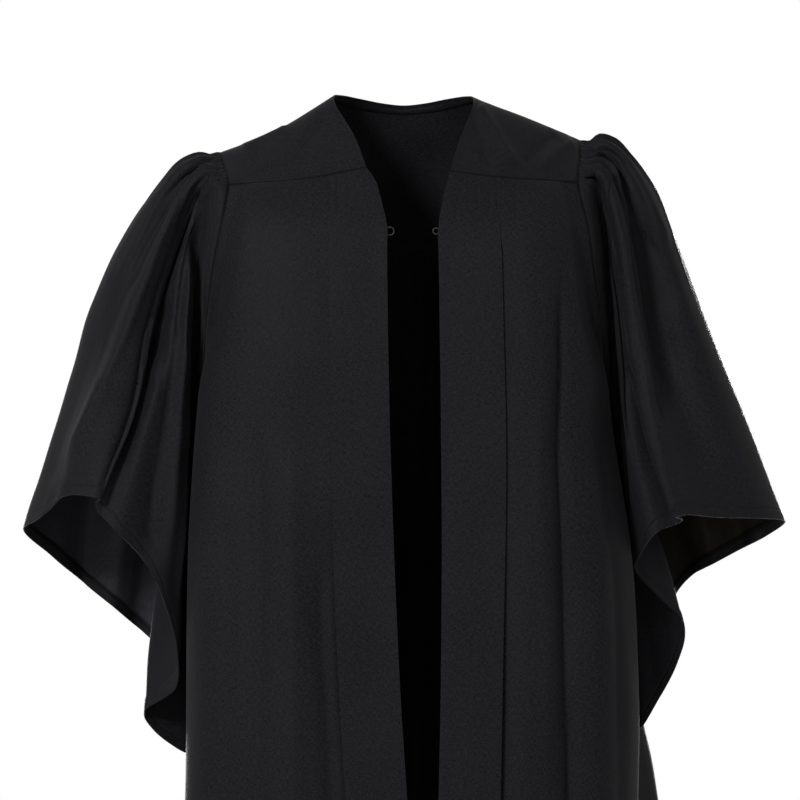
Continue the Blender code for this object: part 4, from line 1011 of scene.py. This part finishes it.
def sheet_mesh(name, points):
    """A grid primitive with its points moved to the sheet's, and the order they are in."""
    rows, columns = points.shape[:2]
    deselect()
    bpy.ops.mesh.primitive_grid_add(x_subdivisions=columns - 1, y_subdivisions=rows - 1, size=2)
    piece = bpy.context.object
    piece.name = name
    piece.data.name = name
    flat = np.empty(len(piece.data.vertices) * 3, np.float32)
    piece.data.vertices.foreach_get("co", flat)
    flat = flat.reshape(-1, 3)
    column = np.rint((flat[:, 0] + 1) / 2 * (columns - 1)).astype(int)
    row = np.rint((1 - flat[:, 1]) / 2 * (rows - 1)).astype(int)
    piece.data.vertices.foreach_set("co", (points[row, column] * MM).ravel())
    piece.data.update()
    return piece, row, column


def set_map(piece, name, u, v, row, column):
    """A UV map in metres of cloth, from the distances at each point of the sheet."""
    layer = piece.data.uv_layers.get(name) or piece.data.uv_layers.new(name=name)
    corner = np.empty(len(piece.data.loops), np.int32)
    piece.data.loops.foreach_get("vertex_index", corner)
    place = np.stack([u[row, column][corner], v[row, column][corner]], axis=1) * MM
    layer.data.foreach_set("uv", place.ravel())


def cloth_piece(node, grid, finish, wall, turn, painted_glow=None):
    """One piece of the gown from its fine grid, with its edges turned in and its cloth thickened.

    turn is how deep the top, hem, first and last edges are turned in, in millimetres. painted_glow
    is how much light each column of a sleeve's single cloth lets through, painted into the colour
    of its inside as painted light; a sleeve is closed round."""
    closed = painted_glow is not None
    outward = PIECES[node]["outward"]
    normal = facing(grid, closed) * outward
    u, v = cloth_measure(grid, closed)
    if closed:
        grid = np.concatenate([grid, grid[:, :1]], axis=1)
        normal = np.concatenate([normal, normal[:, :1]], axis=1)
    step = float(np.linalg.norm(np.diff(grid, axis=0), axis=2).mean())
    rows = turned_order(grid.shape[0], step, turn[0], turn[1])
    columns = turned_order(grid.shape[1], step, turn[2], turn[3])
    if outward < 0:
        columns = columns[::-1]
    pick = np.ix_(rows[:, 0], columns[:, 0])
    layer = rows[:, 1][:, None] + columns[:, 1][None, :]
    points = grid[pick] - normal[pick] * (layer * TURN_GAP)[:, :, None]
    wide, tall = u[:, -1:], v[-1:, :]
    above = (rows[:, 0] < grid.shape[0] / 2)[:, None]
    before = (columns[:, 0] < grid.shape[1] / 2)[None, :]
    sign_row = np.where(rows[:, 1] == 1, -1, 1)[:, None]
    sign_column = np.where(columns[:, 1] == 1, -1, 1)[None, :]
    near_u, near_v = u[pick], v[pick]
    far_u, far_v = (wide - u)[pick], (tall - v)[pick]
    total_u, total_v = near_u + far_u, near_v + far_v
    near_u = np.where(before, near_u * sign_column, total_u - far_u * sign_column)
    near_v = np.where(above, near_v * sign_row, total_v - far_v * sign_row)
    piece, row, column = sheet_mesh(node + "_cloth", points)
    piece.data.uv_layers[0].name = "cloth"
    set_map(piece, "cloth", near_u, near_v, row, column)
    set_map(piece, "far", total_u - near_u, total_v - near_v, row, column)
    piece.data.uv_layers["cloth"].active_render = True
    if closed:
        # Painted light: the single cloth of a sleeve, away from its doubled hem, is marked to take
        # the paler colours of light coming through from behind
        share = np.append(painted_glow, painted_glow[0])[columns[:, 0]][None, :] * np.where(layer == 0, 1, 0)
        share = share * (far_v > turn[1])
        mark = piece.data.attributes.new("painted_light_through", "FLOAT", "POINT")
        mark.data.foreach_set("value", share[row, column].astype(np.float32))
        bpy.ops.object.mode_set(mode="EDIT")
        bpy.ops.mesh.select_all(action="SELECT")
        bpy.ops.mesh.remove_doubles(threshold=1e-7)
        bpy.ops.object.mode_set(mode="OBJECT")
    bpy.ops.object.shade_smooth_by_angle(angle=math.radians(CREASE_ANGLE))
    for material in finish:
        piece.data.materials.append(material)
    thick = piece.modifiers.new("Cloth thickness", "SOLIDIFY")
    thick.thickness = wall * MM
    thick.offset = 0
    thick.material_offset = len(finish) - 1
    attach(piece, "root")
    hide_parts(node)
    return piece


def linear(code):
    """An sRGB hex colour as the linear colour a shader takes."""
    parts = [int(code[place:place + 2], 16) / 255 for place in (1, 3, 5)]
    return [c / 12.92 if c <= 0.04045 else ((c + 0.055) / 1.055) ** 2.4 for c in parts] + [1.0]


def add_node(tree, kind, inputs=None, **settings):
    """Add one shader node with its settings, and return its outputs.

    Each input is given a value, or is linked to another node's output."""
    made = tree.nodes.new("ShaderNode" + kind)
    for name, value in settings.items():
        setattr(made, name, value)
    for name, value in (inputs or {}).items():
        if isinstance(value, bpy.types.NodeSocket):
            tree.links.new(value, made.inputs[name])
        else:
            made.inputs[name].default_value = value
    return made.outputs


def sewn_row(tree, across, along, distance, until, look):
    """Height of one row of stitches that runs a distance from an edge, sunk in a soft groove.

    The row stops where along reaches until."""
    line = add_node(tree, "Math", {0: across}, operation="ABSOLUTE")[0]
    off = add_node(tree, "Math", {0: line, 1: distance * MM}, operation="SUBTRACT")[0]
    off = add_node(tree, "Math", {0: off}, operation="ABSOLUTE")[0]
    groove = add_node(tree, "MapRange", {"Value": off, "From Min": 0.0, "From Max": 0.0026,
                                         "To Min": -0.5, "To Max": 0.0},
                      interpolation_type="SMOOTHSTEP")[0]
    place = add_node(tree, "Math", {0: along, 1: look.stitch_length}, operation="DIVIDE")[0]
    turn = add_node(tree, "Math", {0: place}, operation="FRACT")[0]
    turn = add_node(tree, "Math", {0: turn, 1: 0.5}, operation="SUBTRACT")[0]
    turn = add_node(tree, "Math", {0: turn}, operation="ABSOLUTE")[0]
    dash = add_node(tree, "MapRange", {"Value": turn, "From Min": 0.3, "From Max": 0.42,
                                       "To Min": 1.0, "To Max": 0.0},
                    interpolation_type="SMOOTHSTEP")[0]
    thread = add_node(tree, "MapRange", {"Value": off, "From Min": 0.0002, "From Max": 0.0005,
                                         "To Min": 0.8, "To Max": 0.0},
                      interpolation_type="SMOOTHSTEP")[0]
    row = add_node(tree, "Math", {0: thread, 1: dash, 2: groove}, operation="MULTIPLY_ADD")[0]
    sewn = add_node(tree, "Math", {0: along, 1: until * MM}, operation="LESS_THAN")[0]
    return add_node(tree, "Math", {0: row, 1: sewn}, operation="MULTIPLY")[0]


def seam_groove_and_painted_shade(tree, maps, edges, seams):
    """1 in the fold of each seam edge of a piece, and 0 a little way into the cloth: it sinks the
    cloth into a groove and darkens its colour with painted shade.
    """
    shade = None
    for edge in seams:
        label, across, _ = edges[edge]
        off = add_node(tree, "Math", {0: maps[label][across]}, operation="ABSOLUTE")[0]
        near = add_node(tree, "MapRange", {"Value": off, "From Min": 0.0003, "From Max": 0.0021,
                                           "To Min": 1.0, "To Max": 0.0},
                        interpolation_type="SMOOTHSTEP")[0]
        if shade is None:
            shade = near
        else:
            shade = add_node(tree, "Math", {0: shade, 1: near}, operation="MAXIMUM")[0]
    return shade


def black_polyester(name, sewn, seams=(), painted_glow=None):
    """Black polyester in plain weave, with the rows of stitches of one piece.

    sewn gives, for the edges top, hem, first and last, how far in each row of stitches runs and
    where it stops. seams are the edges sewn to another piece, where the cloth dips into a groove
    and its colour is darkened with painted shade. painted_glow gives the two colours painted on the
    cloth as painted light, where it is lit through from behind."""
    look = bpy.context.scene.gown_cloth
    made = bpy.data.materials.new(name)
    made.use_nodes = True
    tree = made.node_tree
    shader = tree.nodes["Principled BSDF"]
    maps = {}
    for label in ("cloth", "far"):
        place = add_node(tree, "UVMap", uv_map=label)[0]
        maps[label] = add_node(tree, "SeparateXYZ", {0: place})
    # Plain weave: warp over weft and weft over warp. Real threads are 0.25 mm apart, which no
    # render of a whole gown can show, so they are drawn at thread_pitch.
    waves = []
    for way in (0, 1):
        turns = add_node(tree, "Math", {0: maps["cloth"][way], 1: math.pi / look.thread_pitch},
                         operation="MULTIPLY")[0]
        waves.append(add_node(tree, "Math", {0: turns}, operation="SINE")[0])
    weave = add_node(tree, "Math", {0: waves[0], 1: waves[1]}, operation="MULTIPLY")[0]
    # Slubs: threads are a little thicker in places, so short streaks run along warp and weft
    place = add_node(tree, "UVMap", uv_map="cloth")[0]
    streaks = []
    for stretch in ((1300, 260, 1), (260, 1300, 1)):
        drawn = add_node(tree, "Mapping", {"Vector": place, "Scale": stretch})[0]
        streaks.append(add_node(tree, "TexNoise", {"Vector": drawn, "Scale": 1.0, "Detail": 2.0},
                                noise_dimensions="2D")[0])
    slub = add_node(tree, "Math", {0: streaks[0], 1: streaks[1]}, operation="ADD")[0]
    height = add_node(tree, "Math", {0: weave, 1: 0.35, 2: slub}, operation="MULTIPLY_ADD")[0]
    edges = {"top": ("cloth", 1, 0), "hem": ("far", 1, 0),
             "first": ("cloth", 0, 1), "last": ("far", 0, 1)}
    rows = None
    for edge, distances in sewn.items():
        label, across, along = edges[edge]
        for distance, until in distances:
            row = sewn_row(tree, maps[label][across], maps["cloth"][along], distance, until, look)
            if rows is None:
                rows = row
            else:
                rows = add_node(tree, "Math", {0: rows, 1: row}, operation="ADD")[0]
    fine = add_node(tree, "Bump", {"Height": height, "Strength": look.weave_strength,
                                   "Distance": 0.0003})
    shade = seam_groove_and_painted_shade(tree, maps, edges, seams)
    if shade is not None:
        sunk = add_node(tree, "Math", {0: shade, 1: -1.0}, operation="MULTIPLY")[0]
        if rows is None:
            rows = sunk
        else:
            rows = add_node(tree, "Math", {0: rows, 1: sunk}, operation="ADD")[0]
    if rows is not None:
        fine = add_node(tree, "Bump", {"Height": rows, "Strength": 0.8, "Distance": 0.0011,
                                       "Normal": fine[0]})
    # Handling leaves the cloth slightly uneven, which shows as soft dents a few centimetres wide
    solid = add_node(tree, "TexCoord")["Object"]
    drawn = add_node(tree, "Mapping", {"Vector": solid, "Scale": (1.0, 1.0, 0.3)})[0]
    dents = add_node(tree, "TexNoise", {"Vector": drawn, "Scale": 26.0, "Detail": 2.0,
                                        "Roughness": 0.45})[0]
    soft = add_node(tree, "Bump", {"Height": dents, "Strength": 0.35, "Distance": 0.0035,
                                   "Normal": fine[0]})
    tree.links.new(soft[0], shader.inputs["Normal"])
    # Dye takes unevenly, and the backs of the threads are darker than their crowns
    blotch = add_node(tree, "TexNoise", {"Vector": solid, "Scale": 9.0, "Detail": 3.0})[0]
    tone = add_node(tree, "Math", {0: weave, 1: 0.1, 2: slub}, operation="MULTIPLY_ADD")[0]
    tone = add_node(tree, "Math", {0: blotch, 1: 0.3, 2: tone}, operation="MULTIPLY_ADD")[0]
    tone = add_node(tree, "MapRange", {"Value": tone, "From Min": 0.78, "From Max": 1.5})[0]
    colour = add_node(tree, "Mix", {0: tone, 6: look.dark_colour, 7: look.light_colour},
                      data_type="RGBA")[2]
    # Painted light: a paler colour where the sleeve's single cloth lets light through from behind,
    # brown on the left sleeve as a painted reflection
    if painted_glow is not None:
        through = add_node(tree, "Attribute", attribute_name="painted_light_through")["Fac"]
        painted_light_colour = add_node(tree, "Mix", {0: tone, 6: painted_glow[0], 7: painted_glow[1]}, data_type="RGBA")[2]
        colour = add_node(tree, "Mix", {0: through, 6: colour, 7: painted_light_colour}, data_type="RGBA")[2]
    # Painted shade: the colour goes near black in the fold of each seam edge, where shade falls
    if shade is not None:
        colour = add_node(tree, "Mix", {0: shade, 6: colour, 7: linear("#020202")},
                          data_type="RGBA")[2]
    tree.links.new(colour, shader.inputs["Base Color"])
    rough = add_node(tree, "MapRange", {"Value": slub, "From Min": 0.6, "From Max": 1.4,
                                        "To Min": 0.54, "To Max": 0.66})[0]
    tree.links.new(rough, shader.inputs["Roughness"])
    shader.inputs["IOR"].default_value = 1.5
    shader.inputs["Specular IOR Level"].default_value = look.gloss
    shader.inputs["Sheen Weight"].default_value = look.sheen
    shader.inputs["Sheen Roughness"].default_value = 0.45
    return made


def lacquered_wire(name):
    """Steel wire dipped in black lacquer: dark and glossy, with small runs and scratches."""
    look = bpy.context.scene.gown_cloth
    made = bpy.data.materials.new(name)
    made.use_nodes = True
    tree = made.node_tree
    shader = tree.nodes["Principled BSDF"]
    solid = add_node(tree, "TexCoord")["Object"]
    runs = add_node(tree, "TexNoise", {"Vector": solid, "Scale": 900.0, "Detail": 3.0})[0]
    colour = add_node(tree, "Mix", {0: runs, 6: look.wire_colour, 7: linear("#141416")},
                      data_type="RGBA")[2]
    tree.links.new(colour, shader.inputs["Base Color"])
    rough = add_node(tree, "MapRange", {"Value": runs, "To Min": 0.4, "To Max": 0.65})[0]
    tree.links.new(rough, shader.inputs["Roughness"])
    shader.inputs["Specular IOR Level"].default_value = 0.15
    bump = add_node(tree, "Bump", {"Height": runs, "Strength": 0.3, "Distance": 0.0001})
    tree.links.new(bump[0], shader.inputs["Normal"])
    return made


def studio_floor(name):
    """Matt white board under the gown, with a trace of unevenness."""
    made = bpy.data.materials.new(name)
    made.use_nodes = True
    tree = made.node_tree
    shader = tree.nodes["Principled BSDF"]
    solid = add_node(tree, "TexCoord")["Object"]
    cloud = add_node(tree, "TexNoise", {"Vector": solid, "Scale": 1.5, "Detail": 2.0})[0]
    colour = add_node(tree, "Mix", {0: cloud, 6: linear("#e4e4e4"), 7: linear("#ececec")},
                      data_type="RGBA")[2]
    tree.links.new(colour, shader.inputs["Base Color"])
    shader.inputs["Roughness"].default_value = 0.9
    return made


class GownCloth(bpy.types.PropertyGroup):
    """Sizes and colours of the cloth, its hems and its fastening."""

    dark_colour: bpy.props.FloatVectorProperty(
        name="Cloth, dark", description="Colour of the cloth between its threads", subtype="COLOR",
        size=4, min=0, max=1, default=linear("#020203"))
    light_colour: bpy.props.FloatVectorProperty(
        name="Cloth, light", description="Colour of the crowns of the threads", subtype="COLOR",
        size=4, min=0, max=1, default=linear("#0f0f11"))
    wire_colour: bpy.props.FloatVectorProperty(
        name="Wire", description="Colour of the lacquered hook and eye", subtype="COLOR",
        size=4, min=0, max=1, default=linear("#0c0c0d"))
    thread_pitch: bpy.props.FloatProperty(
        name="Thread pitch", description="Distance between threads as drawn", unit="LENGTH",
        default=0.0009, min=0.0002, max=0.01)
    stitch_length: bpy.props.FloatProperty(
        name="Stitch length", description="Distance from one stitch to the next", unit="LENGTH",
        default=0.003, min=0.001, max=0.01)
    weave_strength: bpy.props.FloatProperty(
        name="Weave", description="How strongly the weave stands out", subtype="FACTOR",
        default=0.45, min=0, max=1)
    gloss: bpy.props.FloatProperty(
        name="Gloss", description="Specular level of the cloth", subtype="FACTOR",
        default=0.026, min=0, max=1)
    sheen: bpy.props.FloatProperty(
        name="Sheen", description="Sheen of the cloth where it turns away", subtype="FACTOR",
        default=0.01, min=0, max=1)
    cloth_thickness: bpy.props.FloatProperty(
        name="Cloth thickness", description="Thickness of one layer", unit="LENGTH",
        default=0.0006, min=0.0002, max=0.003)
    band_thickness: bpy.props.FloatProperty(
        name="Band thickness", description="Thickness of the faced front bands", unit="LENGTH",
        default=0.0007, min=0.0002, max=0.004)
    hem_depth: bpy.props.FloatProperty(
        name="Hem depth", description="How deep the hems are turned in", unit="LENGTH",
        default=0.012, min=0.004, max=0.05)


class GownStudio(bpy.types.PropertyGroup):
    """Floor and lights."""

    floor_height: bpy.props.FloatProperty(
        name="Floor", description="Height of the floor below the neck of the worn gown",
        unit="LENGTH", default=-1.45, min=-3, max=-1.2)
    key_power: bpy.props.FloatProperty(
        name="Key light", description="Power of the large light at the front on the left",
        unit="POWER", default=255, min=0, max=5000)
    fill_power: bpy.props.FloatProperty(
        name="Fill light", description="Power of the light at the front on the right",
        unit="POWER", default=24, min=0, max=5000)
    low_power: bpy.props.FloatProperty(
        name="Low fill light", description="Power of the low light that reaches into the sleeves",
        unit="POWER", default=24, min=0, max=5000)
    back_power: bpy.props.FloatProperty(
        name="Back lights", description="Power of the stronger of the two lights behind the gown",
        unit="POWER", default=210, min=0, max=5000)
    side_power: bpy.props.FloatProperty(
        name="Side lights", description="Power of each of the two lights beside the gown",
        unit="POWER", default=11, min=0, max=5000)


def dressed(context, node, grid, place=None, painted_glow=None, inside=()):
    """Dress one piece of the gown in cloth, from its grid.

    place, painted_glow and inside are given for a sleeve: the place on the armhole of each column
    of the fine sheet, how much light it lets through, painted into its colour as painted light, and
    the material of its inside."""
    how = PIECES[node]
    look = context.scene.gown_cloth
    hem = look.hem_depth / MM
    wall = (look.band_thickness if "band" in node else look.cloth_thickness) / MM
    sewn = dict(how["sewn"])
    if None in how["turned"]:
        sewn = {"hem": ((hem - HEM_ROW, WHOLE_EDGE),), **sewn}
    finish = black_polyester(how["label"] + ", woven black polyester", sewn, how["seams"])
    turned = [hem if depth is None else depth for depth in how["turned"]]
    piece = cloth_piece(node, detailed(node, grid, place), [finish, *inside], wall, turned, painted_glow)


class GOWN_OT_yoke(bpy.types.Operator):
    """Make the yoke over both shoulders and round the back of the neck"""

    bl_idname = "gown.yoke"
    bl_label = "Yoke"

    def execute(self, context):
        dressed(context, "yoke", refined(yoke_grid(), PIECES["yoke"]["spacing"])[0])
        return {"FINISHED"}


class GOWN_OT_back(bpy.types.Operator):
    """Make the full back panel, gathered under the yoke and fluted to the hem"""

    bl_idname = "gown.back"
    bl_label = "Back"

    def execute(self, context):
        dressed(context, "back", refined(back_grid(), PIECES["back"]["spacing"])[0])
        return {"FINISHED"}


class GOWN_OT_fronts(bpy.types.Operator):
    """Make the two front panels"""

    bl_idname = "gown.fronts"
    bl_label = "Front panels"

    def execute(self, context):
        for side in ("left", "right"):
            node = "front_" + side
            dressed(context, node, refined(front_grid(side), PIECES[node]["spacing"])[0])
        return {"FINISHED"}


class GOWN_OT_bands(bpy.types.Operator):
    """Make the faced bands down the two front edges"""

    bl_idname = "gown.bands"
    bl_label = "Front bands"

    def execute(self, context):
        for side in ("left", "right"):
            node = "front_band_" + side
            dressed(context, node, refined(band_grid(side), PIECES[node]["spacing"])[0])
        return {"FINISHED"}


class GOWN_OT_sleeves(bpy.types.Operator):
    """Make the two wide bell sleeves"""

    bl_idname = "gown.sleeves"
    bl_label = "Sleeves"

    def execute(self, context):
        for side in ("left", "right"):
            node = "sleeve_" + side
            tones = [linear(code) for code in PAINTED_INSIDE_LIGHT[side]]
            name = "Sleeve " + side + ", inside, woven black polyester"
            inside = black_polyester(name, {}, (), tones)
            place = sleeve_places()
            dense = np.where((place < FRONT_HALF[0]) | (place > FRONT_HALF[1]), SLEEVE_DENSER, 1.0)
            grid, columns = refined(sleeve_grid(side), PIECES[node]["spacing"], True, dense)
            place = np.interp(columns, range(len(place) + 1), list(place) + [len(ARMHOLE)])
            # Painted light: the share of light that comes through the single cloth at the back of
            # the sleeve, painted into the colour of its inside
            painted_glow = ease(place, 7.6, 8.6) * (1 - ease(place, 12.2, 12.9))
            dressed(context, node, grid, place, painted_glow, [inside])
        return {"FINISHED"}


class GOWN_OT_fastening(bpy.types.Operator):
    """Lacquer the hook and eye at the neck"""

    bl_idname = "gown.fastening"
    bl_label = "Hook and eye"

    def execute(self, context):
        finish = lacquered_wire("Hook and eye, black lacquered steel wire")
        for name in ("neck_hook", "neck_eye"):
            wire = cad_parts[name]
            wire.data.materials.clear()
            wire.data.materials.append(finish)
        return {"FINISHED"}


class GOWN_OT_studio(bpy.types.Operator):
    """Lay the floor and set the lights and the camera"""

    bl_idname = "gown.studio"
    bl_label = "Studio"

    def execute(self, context):
        studio = context.scene.gown_studio
        deselect()
        bpy.ops.mesh.primitive_circle_add(vertices=96, radius=FLOOR_RADIUS, fill_type="NGON",
                                          location=(0, 0, studio.floor_height))
        floor = context.object
        floor.name = "studio_floor"
        bpy.ops.object.transform_apply(location=True, rotation=True, scale=True)
        floor.data.materials.append(studio_floor("Matt white studio board"))
        world = bpy.data.worlds.new("Pale studio")
        world.use_nodes = True
        background = world.node_tree.nodes["Background"]
        background.inputs["Color"].default_value = (1.0, 1.0, 1.0, 1.0)
        background.inputs["Strength"].default_value = 1.0
        context.scene.world = world
        for name, place, size, setting, share in LIGHTS:
            bpy.ops.object.light_add(type="AREA", location=place)
            light = context.object
            light.name = name
            light.data.shape = "DISK"
            light.data.size = size
            light.data.energy = getattr(studio, setting) * share
            aim = np.array(AIM) - np.array(place)
            flat = math.hypot(aim[0], aim[1])
            light.rotation_euler = (math.atan2(flat, -aim[2]), 0, math.atan2(-aim[0], aim[1]))
        bpy.ops.object.camera_add(location=[part * MM for part in EYE],
                                  rotation=(math.pi / 2, 0, 0))
        camera = context.object
        camera.name = "Photo view"
        camera.data.angle = 2 * math.atan(SEEN_HALF / -EYE[1])
        context.scene.camera = camera
        context.scene.view_settings.view_transform = "Standard"
        return {"FINISHED"}


class GOWN_PT_panel(bpy.types.Panel):
    """The steps of the gown, in the 3D view's sidebar"""

    bl_idname = "GOWN_PT_panel"
    bl_label = "Graduation gown"
    bl_space_type = "VIEW_3D"
    bl_region_type = "UI"
    bl_category = "Gown"

    def draw(self, context):
        for group in (context.scene.gown_cloth, context.scene.gown_studio):
            box = self.layout.box()
            for name in group.bl_rna.properties.keys():
                if name not in ("rna_type", "name"):
                    box.prop(group, name)
        for step in STEPS:
            self.layout.operator(step.bl_idname)


STEPS = (GOWN_OT_yoke, GOWN_OT_back, GOWN_OT_fronts, GOWN_OT_bands, GOWN_OT_sleeves,
         GOWN_OT_fastening, GOWN_OT_studio)
CLASSES = (GownCloth, GownStudio, *STEPS, GOWN_PT_panel)


def register():
    for item in CLASSES:
        bpy.utils.register_class(item)
    bpy.types.Scene.gown_cloth = bpy.props.PointerProperty(type=GownCloth)
    bpy.types.Scene.gown_studio = bpy.props.PointerProperty(type=GownStudio)


def unregister():
    del bpy.types.Scene.gown_studio
    del bpy.types.Scene.gown_cloth
    for item in reversed(CLASSES):
        bpy.utils.unregister_class(item)


def main():
    register()
    bpy.ops.gown.yoke()
    bpy.ops.gown.back()
    bpy.ops.gown.fronts()
    bpy.ops.gown.bands()
    bpy.ops.gown.sleeves()
    bpy.ops.gown.fastening()
    bpy.ops.gown.studio()


if __name__ == "__main__":
    main()
